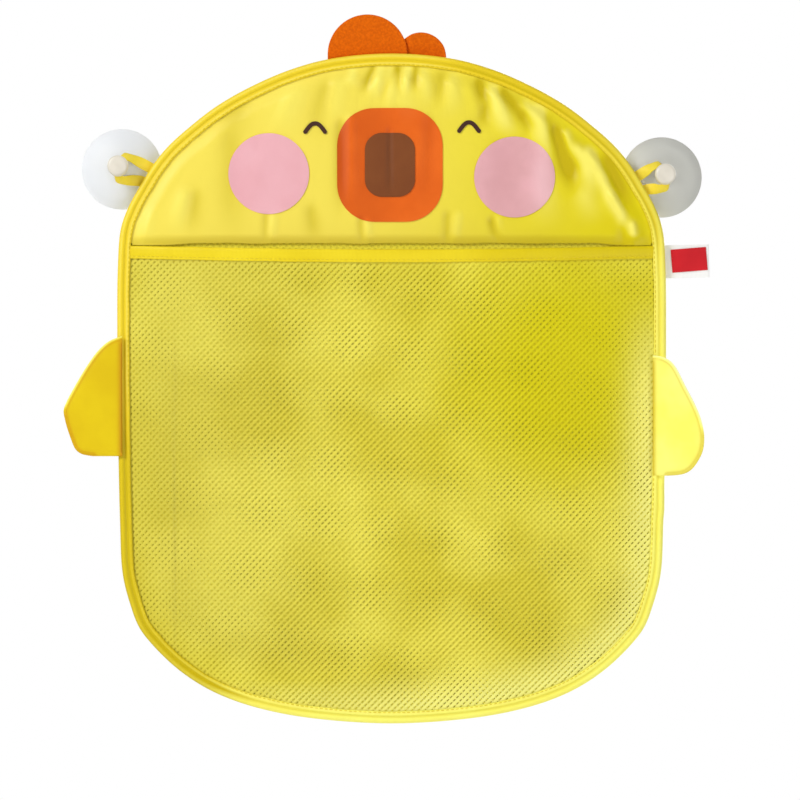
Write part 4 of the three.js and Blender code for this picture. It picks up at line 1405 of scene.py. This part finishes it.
@dataclass
class Sheets:
    """The back sheet, and the front net of the pocket with its hem."""

    line: Outline
    dress: Finishes
    pitch: float = 3.0
    cells: int = 162  # meshes along each side of the square that the net is cut from
    lean: float = 46.0  # degrees that the net's threads lean
    hole: tuple[float, float] = (0.7, 0.24)  # hole as shares of a mesh, along and across
    back_inset: float = 5.0  # from the rim's outer edge to the back sheet's, in the binding
    net_inset: float = 5.3
    sunk: float = 0.45  # how much deeper the threads are at a hole's edge
    net_middle: float = -205.0  # height of the middle of that square
    hem_steps: int = 180
    hem_stitch: tuple[float, float, float] = (3.0, 2.4, 0.5)  # pitch, length and thread

    def rim_light(self, points: np.ndarray, away: np.ndarray) -> np.ndarray:
        """Painted light on the net near the rim, most at the lower right and along the bottom.

        Args:
            points: x and z pairs, mm.
            away: Distance of each from the rim's outer edge.

        Returns:
            Share of the painted light at each, from 0 to 1.
        """
        x, z = points.T
        share = 0.3 + smooth((x + 40) / 180) * (0.7 - smooth((z + 160) / 90)) \
            + 0.45 * smooth((-z - 230) / 110)
        return np.clip(share, 0, 1) * np.exp(-(np.clip(away - 8, 0, None) / 17) ** 2)

    def back(self) -> Piece:
        """Model the back sheet, flat and pulled taut inside the rim.

        Returns:
            The new closed sheet.
        """
        loop = closed(self.line.inset(self.back_inset)[::2])
        middle = np.array([0.0, -135.0])
        rows, shade_and_tones = [], []
        for share in np.linspace(0, 1, 50):
            flat = middle + (loop - middle) * share
            x, z = flat.T
            inside = self.line.nearest(flat)[0]
            # between the head and the pocket the sheet is drawn forward, into the light
            drawn = bell(z, -50, 16)
            y = self.line.sheet_out - 0.8 - DEPTH - 2.0 * drawn * smooth((inside - 5) / 24) \
                + ripple(x + z, 90, 0.3) * 0.12 * np.clip((1 - share) * 4, 0, 1)
            rows.append(stand(flat, y))
            # painted light: paler in the strip between the head and the pocket, and near the rim
            shade_and_tones.append(-np.clip(0.6 * drawn + self.rim_light(flat, inside), 0, 1))
        return sheet_piece("back_sheet", rows, (345.0, 424.0), 0.8, shade_and_tones)

    def on_bag(self, flat: np.ndarray) -> np.ndarray:
        """Turn points of the net's flat grid, metres, into x and z on the bag, mm."""
        x, z = flat[:, 0] / MM, flat[:, 1] / MM
        cos, sin = math.cos(math.radians(self.lean)), math.sin(math.radians(self.lean))
        return np.stack([x * cos - z * sin, x * sin + z * cos + self.net_middle], axis=1)

    def meshes(self) -> tuple[Piece, list[int]]:
        """Model the net as a flat grid with a hole in each mesh.

        Returns:
            The net, cut to the pocket's outline, and the points round its holes.
        """
        piece = added(bpy.ops.mesh.primitive_grid_add, "pocket_net", x_subdivisions=self.cells,
                      y_subdivisions=self.cells, size=self.cells * self.pitch * MM)
        mesh = piece.data
        spots = self.on_bag(np.array([p.center[:] for p in mesh.polygons]))
        away = self.line.nearest(spots)[0]
        keep = (away > 4.6) & (spots[:, 1] < self.line.hem_at(spots[:, 0]) - 2.0)
        shape = bmesh.new()
        shape.from_mesh(mesh)
        spare = [f for f, kept in zip(shape.faces, keep) if not kept]
        bmesh.ops.delete(shape, geom=spare, context="FACES")
        shape.to_mesh(mesh)
        shape.free()
        with editing(piece):
            bpy.ops.mesh.inset(thickness=self.pitch * 0.25 * MM, use_individual=True)
        # after the inset the inner faces stay selected: they are the holes
        shape = bmesh.new()
        shape.from_mesh(mesh)
        holes = [f for f in shape.faces if f.select]
        x, z = self.on_bag(np.array([f.calc_center_median()[:] for f in holes])).T
        # the net is pulled tight, with narrower holes, at the upper right and on the left
        tight = 1 - 0.25 * smooth((-x - 60) / 80) \
            - 0.28 * smooth((x - 50) / 90) * smooth((z + 220) / 120)
        for f, share in zip(holes, tight):
            middle, half = f.calc_center_median(), self.pitch * share / 2 * MM
            for v in f.verts:
                gap = v.co - middle
                v.co.x = middle.x + math.copysign(half * self.hole[0], gap.x)
                v.co.y = middle.y + math.copysign(half * self.hole[1], gap.y)
        low = sorted({v.index for f in holes for v in f.verts})
        bmesh.ops.delete(shape, geom=holes, context="FACES_ONLY")
        shape.to_mesh(mesh)
        shape.free()
        return piece, low

    def net(self) -> Piece:
        """Lay the net over the belly, with its edges under the binding and the hem.

        Returns:
            The new net.
        """
        piece, low = self.meshes()
        mesh = piece.data
        spots = self.on_bag(coordinates(mesh))
        away, inward = self.line.nearest(spots)
        spots = spots + inward * np.clip(self.net_inset - away, 0, None)[:, None]
        spots[:, 1] = np.minimum(spots[:, 1], self.line.hem_at(spots[:, 0]) - 1.2)
        x, z = spots.T
        sunk = np.zeros(len(spots))
        sunk[low] = self.sunk
        wave = ripple(x * 0.8 + z, 75, 0.2) * 0.35 * smooth((away - 9) / 30)
        y = self.line.pocket_y(spots) + sunk + wave
        mesh.vertices.foreach_set("co", (stand(spots, y) * MM).ravel())
        # painted shade on the left of the net, and painted light near the rim
        shaded = 0.55 * (1 - smooth((x + 170) / 190))
        # a faint darker line runs down the left
        crease = 0.3 * bell(x, -139.8, 0.9) * smooth((-z - 90) / 60)
        set_shade_and_tone(mesh, shaded + crease - self.rim_light(spots, away) * (1 - shaded))
        mesh.update()
        face_front(piece)
        mesh.shade_smooth()
        return piece

    def mouth(self, reach: float, count: int) -> tuple[np.ndarray, np.ndarray, np.ndarray]:
        """Find the line that the hem follows.

        Args:
            reach: Half of its width, mm.
            count: Number of points along it.

        Returns:
            Place across the bag, depth coordinate and direction out of the hem's front.
        """
        x = np.linspace(-reach, reach, count)
        y = self.line.pocket_y(pairs(x, self.line.hem_level)) + 0.4
        return x, y, unit(np.stack([np.gradient(y, x), -np.ones(count), np.zeros(count)], axis=1))

    def hem(self) -> Piece:
        """Model the tape folded over the pocket's top edge.

        Returns:
            The new closed tape.
        """
        high = self.line.hem_height
        front = [(-high, 1.0), (-high - 0.05, 1.25), (-high + 0.3, 1.5), (-7.2, 1.42),
                 (-6.7, 1.3), (-6.2, 1.46), (-4.5, 1.55), (-2.2, 1.6), (-0.9, 1.5),
                 (-0.25, 1.15), (0.05, 0.6), (0.12, 0.0)]
        section = front + [(u, -v) for u, v in reversed(front[:-1])] \
            + [(-0.6, -1.0), (-0.5, 0.0), (-0.6, 1.0)]
        reach = self.line.half_width(self.line.seam_inset - 0.7, self.line.hem_level)
        x, middle, normal = self.mouth(reach, self.hem_steps)
        level = self.line.hem_at(x) + ripple(x, 44, 1.1) * 0.12
        # the tape ripples between its stitches, most at two small gathers
        gather = (bell(x, -15.4, 5) + bell(x, 6.7, 4)) * np.sin(x * 1.9)
        rows = []
        for u, v in section:
            out = v + (ripple(x, 21, 0.6) * 0.1 + gather * 0.16) * (1 if v > 0.5 else 0.2)
            rows.append(np.stack([x, middle, level + u], axis=1) + normal * out[:, None])
        deeper = np.tile(0.85 * smooth((x - 10) / 130), (len(rows) + 1, 1))
        piece = grid_piece("pocket_hem_tape", closed(np.array(rows)), (2 * reach, 30.0), deeper)
        tidy_mesh(piece, outward=False)
        seal(piece, bpy.ops.mesh.fill)
        shade(piece, 60)
        return piece

    def hem_stitches(self) -> Piece:
        """Model the row of stitches along the hem's lower edge.

        Returns:
            One piece that holds every stitch.
        """
        pitch, length, thread = self.hem_stitch
        reach = self.line.half_width(self.line.seam_inset, self.line.hem_level) - 2
        x, middle, normal = self.mouth(reach, int(2 * reach / pitch))
        places = np.stack([x, middle, self.line.hem_at(x) - 6.7], axis=1) + normal * 1.5
        along = np.gradient(places, axis=0)
        return stitch_row("hem_stitches", places, along, normal, length, thread)

    def build(self) -> None:
        """Model and dress the sheets and the hem."""
        back = self.back()
        self.dress.put(back, self.dress.net_behind, "yellow_mesh", "back_mesh", "bag")
        net = self.net()
        self.dress.put(net, self.dress.net, "yellow_mesh", "pocket_mesh", "bag")
        hem, row = self.hem(), self.hem_stitches()
        self.dress.put(hem, self.dress.hem, "yellow_tape", "pocket_hem", "bag")
        self.dress.put(row, self.dress.thread, "yellow_tape", body="bag")
        LOG.info("pocket: net of %d faces, hem and stitches", len(net.data.polygons))


@dataclass
class Crest:
    """Two felt lobes sewn behind the top of the rim."""

    line: Outline
    dress: Finishes
    tail: float = 6.8
    thickness: float = 2.0

    def lobe(self, name: str, shift: float, drop: float, radius: float, back: float,
             forward: float) -> Piece:
        """Model one lobe with softly rounded edges.

        Args:
            name: Name of the piece.
            shift: Centre of the lobe from the middle, mm.
            drop: Centre of the lobe below the rim's top.
            radius: Radius of the lobe.
            back: Back face of the felt, mm behind the middle plane.
            forward: How far the felt curls forward above the rim, beside its neighbour.

        Returns:
            The new piece.
        """
        centre = np.array([shift, self.line.top - drop])
        turn = np.linspace(0, math.pi, 61)
        top = np.stack([np.cos(turn), np.sin(turn)], axis=1) * radius + centre
        loop = self.line.inset(self.tail)
        upper = loop[(np.abs(loop[:, 0]) < 80) & (loop[:, 1] > 0)]
        upper = upper[np.argsort(upper[:, 0])]
        x = np.linspace(shift - radius, shift + radius, 31)
        foot = np.stack([x, np.interp(x, upper[:, 0], upper[:, 1])], axis=1)
        outline = evenly(closed(np.concatenate([top, foot])), 141)
        middle = np.array([shift, centre[1] + radius * 0.4])
        rows = []
        for share in np.linspace(0, 1, 24):
            flat = middle + (outline - middle) * share
            x, z = flat.T
            curl = smooth((x - 9) / 4) * smooth((z - self.line.top) / 9)
            rows.append(stand(flat, back - DEPTH - self.thickness - forward * curl
                              + ripple(x * 1.2 + z, 26, shift) * 0.075))
        return sheet_piece(name, rows, (radius * 2, radius * 2), self.thickness, bevel=0.55)

    def build(self) -> None:
        """Model and dress both lobes."""
        for word, shift, drop, radius, back, forward in (
                ("large", -15.7, 0.0, 25.9, RIM_FACE + 2.0, 0.0),
                ("small", 19.0, 2.2, 16.5, RIM_FACE + 4.3, 1.8)):
            piece = self.lobe(f"crest_lobe_{word}", shift, drop, radius, back, forward)
            self.dress.put(piece, self.dress.felt, "orange_felt", f"crest_{word}")
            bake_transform(piece)
        LOG.info("crest: two felt lobes")


@dataclass(frozen=True)
class WingForm:
    """What differs between the two wings."""

    side: Side
    # the left wing's cloth is painted in shade and the right wing's in light
    finish: Finish
    body: str
    drop: float  # mm from the rim's top to the top of the root
    tuck: float  # mm that the root lies inside the rim's outer edge
    lean: float  # degrees that the wing leans forward
    edge: Points  # its outline, as shares of the width and height


@dataclass
class Wings:
    """Two-layer cloth wings, softly padded, sewn to the sides of the rim."""

    line: Outline
    dress: Finishes
    width: float = 37.8
    height: float = 77.8
    thickness: float = 3.0

    def forms(self) -> tuple[WingForm, WingForm]:
        """Both wings: the right one curls, so it looks rounder and leans forward.

        Returns:
            The left wing's form and the right one's.
        """
        return (
            WingForm(Side.LEFT, self.dress.wing_left, "wing_l", 183.0, 3.5, 0.0, (
                (0, 0), (0.24, 0.05), (0.42, 0.13), (0.6, 0.25), (0.82, 0.43), (0.95, 0.55),
                (1, 0.62), (0.97, 0.71), (0.88, 0.85), (0.8, 0.94), (0.7, 0.98), (0.5, 1.0))),
            WingForm(Side.RIGHT, self.dress.wing_right, "wing_r", 195.4, 7.6, 36.0, (
                (0, 0), (0.21, 0.02), (0.4, 0.08), (0.64, 0.27), (0.82, 0.42), (0.93, 0.54),
                (0.985, 0.67), (0.965, 0.78), (0.86, 0.88), (0.73, 0.95), (0.57, 0.985),
                (0.29, 1.0))),
        )

    def shade_and_tone(self, x: np.ndarray, z: np.ndarray, edge: np.ndarray) -> np.ndarray:
        """Painted shadow at the root, painted shade along the lower edge and painted highlight on
        the upper edge, with a darker line along the turned seam.

        Args:
            x: Distance of each point from the root, mm.
            z: Its height, from 0 at the wing's top down.
            edge: The outline, as shares of the width and height.

        Returns:
            Painted shade and highlight at each point, with the seam's darker line.
        """
        rim = edge * (self.width, -self.height)
        away = np.min(np.hypot(x[:, None] - rim[:, 0], z[:, None] - rim[:, 1]), axis=1)
        upper = 1 - smooth((-z / self.height - 0.55) / 0.12)
        # painted shadow at the root, a darker line along the seam, painted shade along the lower
        # edge and painted highlight on the upper edge
        root = 0.85 * bell(x, 0, 2.3) * smooth(-z / 6)
        seam = 0.55 * bell(away, 2.0, 0.7) * (0.5 + 0.5 * upper)
        low = 0.5 * bell(away, 0, 2.2) * (1 - upper)
        return root + seam + low - 0.9 * bell(away, 0, 1.4) * upper

    def flat_form(self, name: str, shares: Points) -> Piece:
        """Model a right-hand wing as a thin closed form, its root on the line x = 0.

        Args:
            name: Name of the piece.
            shares: Its outline, as shares of the width and height.

        Returns:
            The form in the plane y = 0, top of the root at the origin.
        """
        edge = spline(np.array(shares), False, 240)
        down = np.concatenate([np.linspace(0, 0.86, 62), np.linspace(0.86, 1, 21)[1:]])
        order = np.argsort(edge[:, 1])
        reach = np.interp(down, edge[order, 1], edge[order, 0]) * self.width
        across = 1 - (1 - np.linspace(0, 1, 33)) ** 1.4
        front, back, shade_and_tones = [], [], []
        for share, far in zip(down, reach):
            x, z = across * far, np.full(len(across), -share * self.height)
            inside = np.minimum.reduce([
                far - x, np.full(len(x), share * self.height * 0.6),
                np.full(len(x), (1 - share) * self.height), 1.2 + x])
            thick = (self.thickness - 1.0) / 2 * np.sqrt(np.clip(inside / 4, 0, 1))
            front.append(np.stack([x, -thick, z], axis=1))
            back.append(np.stack([x, thick, z], axis=1)[::-1])
            shade_and_tones.append(self.shade_and_tone(x, z, edge))
        size = (self.width, self.height)
        piece = grid_piece(name, front, size, shade_and_tones)
        other = grid_piece(name + "_back", back, size, np.array(shade_and_tones)[:, ::-1])
        only(piece)
        other.select_set(True)
        bpy.ops.object.join()
        tidy_mesh(piece, 2e-5)
        seal(piece, bpy.ops.mesh.edge_face_add)
        return piece

    @staticmethod
    def inflate(piece: Piece, cap: float = 0.7) -> None:
        """Fill the wing softly with a short cloth simulation, held along its root.

        Args:
            piece: The thin closed form.
            cap: Furthest that a point may move, mm.
        """
        before = coordinates(piece.data)
        held = piece.vertex_groups.new(name="root")
        held.add([int(k) for k in np.nonzero(before[:, 0] < 2.5 * MM)[0]], 1.0, "REPLACE")
        cloth = piece.modifiers.new("cloth", "CLOTH")
        for key, value in {
            "quality": 5, "mass": 0.2, "tension_stiffness": 30, "compression_stiffness": 30,
            "bending_stiffness": 0.5, "use_pressure": True, "uniform_pressure_force": 1.5,
            "vertex_group_mass": "root",
        }.items():
            setattr(cloth.settings, key, value)
        cloth.settings.effector_weights.gravity = 0
        scene = bpy.context.scene
        for step in range(1, 16):
            scene.frame_set(step)
        shaped = piece.evaluated_get(bpy.context.evaluated_depsgraph_get())
        move = coordinates(shaped.to_mesh()) - before
        shaped.to_mesh_clear()
        piece.modifiers.remove(cloth)
        scene.frame_set(1)
        length = np.linalg.norm(move, axis=1, keepdims=True)
        move *= np.minimum(1, cap * MM / np.maximum(length, 1e-9))
        piece.data.vertices.foreach_set("co", (before + move).ravel())
        piece.data.update()
        LOG.info("%s: cloth moved up to %.2f mm", piece.name, float(length.max()) / MM)

    def build(self) -> None:
        """Model, fill, place and dress both wings."""
        for form in self.forms():
            sign, word = form.side.value, form.side.word
            piece = self.flat_form(f"{word}_wing_cloth", form.edge)
            self.inflate(piece)
            if form.side is Side.LEFT:
                piece.data.transform(Matrix.Scale(-1, 4, (1, 0, 0)))
                tidy_mesh(piece)
            top = self.line.top - form.drop
            root = self.line.half_width(form.tuck, top - self.height / 2)
            piece.data.transform(
                Matrix.Translation(Vector((sign * root, -DEPTH - RIM_FACE, top)) * MM)
                @ Matrix.Rotation(-sign * math.radians(form.lean), 4, "Z")
                @ Matrix.Translation(Vector((0, -self.thickness / 2 * MM, 0))))
            shade(piece, 80)
            self.dress.put(piece, form.finish, "wing_cloth", f"{word}_wing", form.body)
        LOG.info("wings: two padded wings")


@dataclass
class SideLabel:
    """Folded white tape tab behind the rim, with a plain red patch."""

    line: Outline
    dress: Finishes
    reach: float = 28.7
    height: float = 21.4
    drop: float = 124.2
    tape: float = 0.4
    tail: float = 5.5
    tilt: float = 1.2  # degrees that the outer end points up
    patch_size: tuple[float, float] = (23.0, 15.0)
    patch_margin: float = 1.6
    patch_rise: float = 0.9
    patch_tilt: float = 3.4

    @property
    def length(self) -> float:
        """Length of the folded tab with its sewn end."""
        return self.reach + self.tail

    def place(self) -> Matrix:
        """Place of the tab's sewn top corner, turned by its tilt.

        Returns:
            Turn and shift, in metres.
        """
        z = self.line.top - self.drop
        edge = self.line.half_width(0.0, z - self.height / 2)
        return Matrix.Translation(Vector((edge - self.tail, RIM_FACE - DEPTH, z)) * MM) \
            @ Matrix.Rotation(-math.radians(self.tilt), 4, "Y")

    def tab(self) -> Piece:
        """Model the tape folded once on itself.

        Returns:
            The new closed tab.
        """
        length, gap, bend, back = self.length, 0.3, 0.55, 0.2
        path = [(0.0, back)]
        path += [(x, back + 0.12 * math.sin(x * 0.35))
                 for x in np.linspace(0.8, length - 1.2, 36)]
        path += [(length - bend - 0.2 + bend * math.cos(t),
                  back + (self.tape + gap) / 2 * (1 + math.sin(t)))
                 for t in np.linspace(-math.pi / 2, math.pi / 2, 9)]
        path += [(x, back + self.tape + gap - 0.06 * math.sin(x * 0.3))
                 for x in np.linspace(length - 1.2, 0, 37)]
        x, y = np.array(path).T
        rows = [np.stack([x, y + 0.12 * math.sin(z * 0.5) * x / length,
                          np.full(len(x), z)], axis=1)
                for z in np.linspace(0, -self.height, 16)]
        piece = grid_piece("label_tab", rows, (2 * length, self.height))
        thicken(piece, self.tape * 0.9, 0.0)
        piece.data.transform(self.place())
        shade(piece, 50)
        return piece

    def patch(self) -> Piece:
        """Model the thin printed patch with soft corners on the front of the tab.

        Returns:
            The new closed patch.
        """
        width, height = self.patch_size
        piece = added(bpy.ops.mesh.primitive_plane_add, "label_patch_print", size=MM)
        with editing(piece):
            bpy.ops.transform.resize(value=(width, height, 1), center_override=(0, 0, 0))
            bpy.ops.transform.rotate(value=-math.pi / 2, orient_axis="X",
                                     center_override=(0, 0, 0))
            bpy.ops.mesh.subdivide(number_cuts=11)
        spot = Vector((self.length - self.patch_margin - width / 2, -0.62,
                       self.patch_rise - self.height / 2))
        piece.data.transform(Matrix.Translation(spot * MM)
                             @ Matrix.Rotation(-math.radians(self.patch_tilt), 4, "Y"))
        face_front(piece)
        thicken(piece, 0.2)
        soften(piece, 0.08, 2)
        piece.data.transform(self.place())
        shade(piece, 50)
        return piece

    def build(self) -> None:
        """Model and dress the tab and its patch."""
        tab, patch = self.tab(), self.patch()
        self.dress.put(tab, self.dress.label, "white_tape", "side_label")
        self.dress.put(patch, self.dress.patch, "red_tape", "label_patch", "label")
        edge = self.place().translation + Vector((self.tail, 0, 0)) * MM
        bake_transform(tab)
        LOG.info("label: folded tab and bare patch")


# Radius and depth in front of the wall, mm: a thin lip, a dome with a moulded step and a neck
CUP_PROFILE = (
    (0, 5.0), (6, 4.9), (11, 4.4), (16, 3.2), (20, 1.5), (22.45, 0.0), (26.05, 0.0), (26.25, 0.2),
    (26.25, 0.7), (25.95, 0.95), (24.4, 1.5), (22.4, 2.7), (20.6, 3.8), (18.9, 4.68), (17.0, 5.5),
    (14.6, 6.5), (12.6, 7.25), (11.0, 7.92), (9.4, 8.3), (7.6, 8.75), (6.3, 9.0), (5.2, 9.2),
    (4.5, 9.5), (4.15, 10.0), (4.0, 10.8), (4.0, 13.0), (4.0, 16.0), (4.0, 19.6), (3.8, 20.0),
    (2.2, 20.0), (2.2, 11.7), (0, 11.7),
)
# A pin, and a round knob with a soft edge and a moulded gate mark
PEG_PROFILE = (
    (0, 12.0), (1.6, 12.0), (1.9, 12.3), (1.9, 20.3), (5.5, 20.3), (6.1, 20.42), (6.5, 20.8),
    (6.75, 21.5), (6.75, 23.4), (6.66, 24.2), (6.35, 24.95), (5.75, 25.5), (4.9, 25.8),
    (3.6, 25.95), (1.3, 26.0), (1.2, 25.9), (0, 25.88),
)


@dataclass
class Hanger:
    """One suction cup with its peg, and the ribbon loop that hangs on it."""

    side: Side
    line: Outline
    dress: Finishes
    spacing: float = 352.6
    stagger: float = 5.3
    ribbon: float = 7.0
    ribbon_thickness: float = 0.8
    foot: float = 5.2  # from the middle of the loop's ends to each end
    foot_drop: float = 4.85  # how far that middle lies below the neck's
    bend: float = 7.7  # radius of the loop round the neck
    neck: float = 4.3  # radius of the neck with a small gap
    bend_y: float = -16.0  # depth coordinate of the bend
    steps: int = 121

    @property
    def centre(self) -> np.ndarray:
        """Centre of the cup on the wall, mm."""
        sign = self.side.value
        return np.array([sign * self.spacing / 2, 0.0, -sign * self.stagger / 2])

    def path(self) -> tuple[np.ndarray, np.ndarray, np.ndarray]:
        """Line of the ribbon from one sewn end round the neck to the other.

        Returns:
            Points of the line, the middle of the bend and the direction across the loop.
        """
        sign, neck = self.side.value, self.centre
        low = neck[2] - self.foot_drop
        root = np.array([sign * self.line.half_width(0, low), 0.0, low])
        above, below = (sign * self.line.half_width(0, low + k * self.ribbon) for k in (1, -1))
        along = unit(np.array([above - below, 0.0, self.ribbon * 2]))
        outward = np.array([sign * along[2], 0.0, -sign * along[0]])
        ahead = unit(neck - root)
        across = np.array([-ahead[2] * sign, 0.0, ahead[0] * sign])
        middle = neck + ahead * (self.neck + self.ribbon_thickness / 2 - self.bend)
        middle[1] = self.bend_y

        def strand(k: int) -> list[np.ndarray]:
            """Sewn end, edge of the rim and start of the bend on one side.

            Args:
                k: 1 for the upper strand and -1 for the lower one.

            Returns:
                The three points, from the bag to the bend.
            """
            foot = root + along * (k * self.foot)
            inner, outer = foot - outward * 6.8, foot + outward * self.ribbon_thickness
            inner[1] = outer[1] = RIM_FACE + self.ribbon_thickness / 2 - DEPTH
            return [inner, outer, middle + across * (k * self.bend)]

        turn = [middle + across * (math.cos(a) * self.bend) + ahead * (math.sin(a) * self.bend)
                for a in (np.arange(1, 6) / 6 * math.pi)]
        return np.array(strand(1) + turn + strand(-1)[::-1]), middle, across

    def loop(self) -> Piece:
        """Model the ribbon, flat at its sewn ends and turned edge-on round the neck.

        Returns:
            The new closed ribbon.
        """
        points, middle, across = self.path()
        fine = spline(points, False, 400)
        line = evenly(fine, self.steps)
        flat = line[0, 1]
        half, thin = self.ribbon / 2, self.ribbon_thickness / 2
        upper = [(-half, thin * 0.5), (-half + 0.25, thin), (0, thin * 0.8),
                 (half - 0.25, thin), (half, thin * 0.5)]
        section = [(u, -v) for u, v in upper] + upper[::-1]
        front = np.array([0.0, -1.0, 0.0])
        rows: list[list[np.ndarray]] = [[] for _ in section]
        for k, (at, ahead) in enumerate(zip(line, unit(np.gradient(line, axis=0)))):
            out = (at - middle) * (1, 0, 1)
            mostly = across if k < self.steps / 2 else -across
            beyond = max(float(out @ np.cross(across, front)) * self.side.value, 0.0) ** 2 \
                / max(float(out @ out), 1e-9)
            radial = unit(mostly + (unit(out) - mostly) * smooth(beyond))
            # the last half of the turn is hidden behind the knob
            turned = 0.5 * smooth((at[1] - flat) / (middle[1] - flat)) \
                + 0.5 * smooth(beyond * 2.5)
            target = front * (1 - turned) + radial * turned
            normal = unit(target - ahead * float(target @ ahead))
            side = np.cross(ahead, normal)
            for row, (u, v) in zip(rows, section):
                row.append(at + side * u + normal * v)
        piece = grid_piece(f"{self.side.word}_ribbon_loop", closed(np.array(rows)),
                           (float(run_of(fine)[-1]), 16.0))
        tidy_mesh(piece, outward=False)
        seal(piece, bpy.ops.mesh.edge_face_add)
        shade(piece, 50)
        return piece

    def build(self) -> None:
        """Model and dress the cup, the peg and the loop."""
        word, dress = self.side.word, self.dress
        cup = turned_piece(f"{word}_cup", CUP_PROFILE, self.centre, 72, 35)
        peg = turned_piece(f"{word}_knob", PEG_PROFILE, self.centre, 56, 40)
        # the right cup gets the copy of the vinyl painted in shade
        vinyl = dress.cup if self.side is Side.LEFT else dress.cup_shaded
        dress.put(cup, vinyl, "soft_pvc", f"{word}_suction_cup", "cups")
        dress.put(peg, dress.knob, "white_plastic", f"{word}_peg", "cups")
        dress.put(self.loop(), dress.ribbon, "yellow_tape", f"{word}_loop", "bag")
        LOG.info("%s hanger: cup, peg and ribbon loop", word)


@dataclass(frozen=True)
class Studio:
    """Pale floor, soft light and the camera, in metres."""

    floor_level: float = -0.61
    camera_at: tuple[float, float, float] = (0.0054, -1.514, -0.1481)
    lens: float = 104.2
    bag_middle: tuple[float, float, float] = (0, 0, -0.14)
    world_level: float = 0.32

    def floor(self) -> None:
        """Lay a plain pale floor well below the object."""
        floor = added(bpy.ops.mesh.primitive_plane_add, "floor", size=2.4,
                      location=(0, -0.2, self.floor_level))
        bpy.ops.object.transform_apply(location=True, rotation=True, scale=True)
        material = bpy.data.materials.new("floor_paint")
        material.use_nodes = True
        nodes = Nodes(material.node_tree)
        nodes.feed(nodes.tree.nodes["Principled BSDF"],
                   {"Base Color": linear("#f4f4f4"), "Roughness": 0.9})
        floor.data.materials.append(material)

    def world(self) -> None:
        """Light all round evenly, and show white to the camera, gloss and glass."""
        world = bpy.data.worlds.new("studio")
        bpy.context.scene.world = world
        world.use_nodes = True
        world.node_tree.nodes.clear()
        nodes = Nodes(world.node_tree)
        rays = nodes.add("LightPath")
        seen = nodes.calc("MAXIMUM", rays["Is Camera Ray"], rays["Is Glossy Ray"])
        seen = nodes.calc("MAXIMUM", seen, rays["Is Transmission Ray"])
        light, white = (nodes.add("Background", {"Color": (1, 1, 1, 1), "Strength": level})
                        for level in (self.world_level, 1.0))
        mixed = nodes.add("MixShader", {0: seen, 1: light["Background"],
                                        2: white["Background"]})
        nodes.add("OutputWorld", {"Surface": mixed["Shader"]})

    def lamp(self, name: str, at: tuple[float, float, float], size: float, power: float) -> None:
        """Add one soft square lamp, turned to the bag's middle.

        Args:
            name: Name of the lamp.
            at: Where it stands.
            size: Edge of its square.
            power: Its power, watts.
        """
        data = bpy.data.lights.new(name, "AREA")
        data.size, data.energy = size, power
        lamp = bpy.data.objects.new(name, data)
        bpy.context.collection.objects.link(lamp)
        lamp.location = at
        aim = Vector(self.bag_middle) - Vector(at)
        lamp.rotation_euler = aim.to_track_quat("-Z", "Y").to_euler()

    def camera(self) -> None:
        """Stand the camera straight in front, as the photograph was taken."""
        data = bpy.data.cameras.new("camera")
        data.lens, data.sensor_width = self.lens, 36
        camera = bpy.data.objects.new("camera", data)
        bpy.context.collection.objects.link(camera)
        camera.location = self.camera_at
        camera.rotation_euler = (math.pi / 2, 0, 0)
        bpy.context.scene.camera = camera

    def build(self) -> None:
        """Set up the floor, the light and the camera."""
        bpy.context.scene.view_settings.view_transform = "Standard"
        self.camera()
        self.floor()
        self.world()
        self.lamp("key_light", (-1.5, -1.4, 1.0), 0.9, 33)
        self.lamp("fill_light", (1.2, -1.7, -0.7), 1.4, 23)
        self.lamp("back_light", (1.0, 1.7, 0.8), 1.4, 34)
        LOG.info("studio: floor, world, three lamps and camera")


def main() -> None:
    """Build every piece in order."""
    line, dress = Outline(), Finishes()
    head = Head(line, dress)
    for part in (Studio(), Rim(line, dress), head, Face(head, dress), Sheets(line, dress),
                 Crest(line, dress), Wings(line, dress), SideLabel(line, dress),
                 Hanger(Side.LEFT, line, dress), Hanger(Side.RIGHT, line, dress)):
        part.build()
    deselect()


if __name__ == "__main__":
    main()
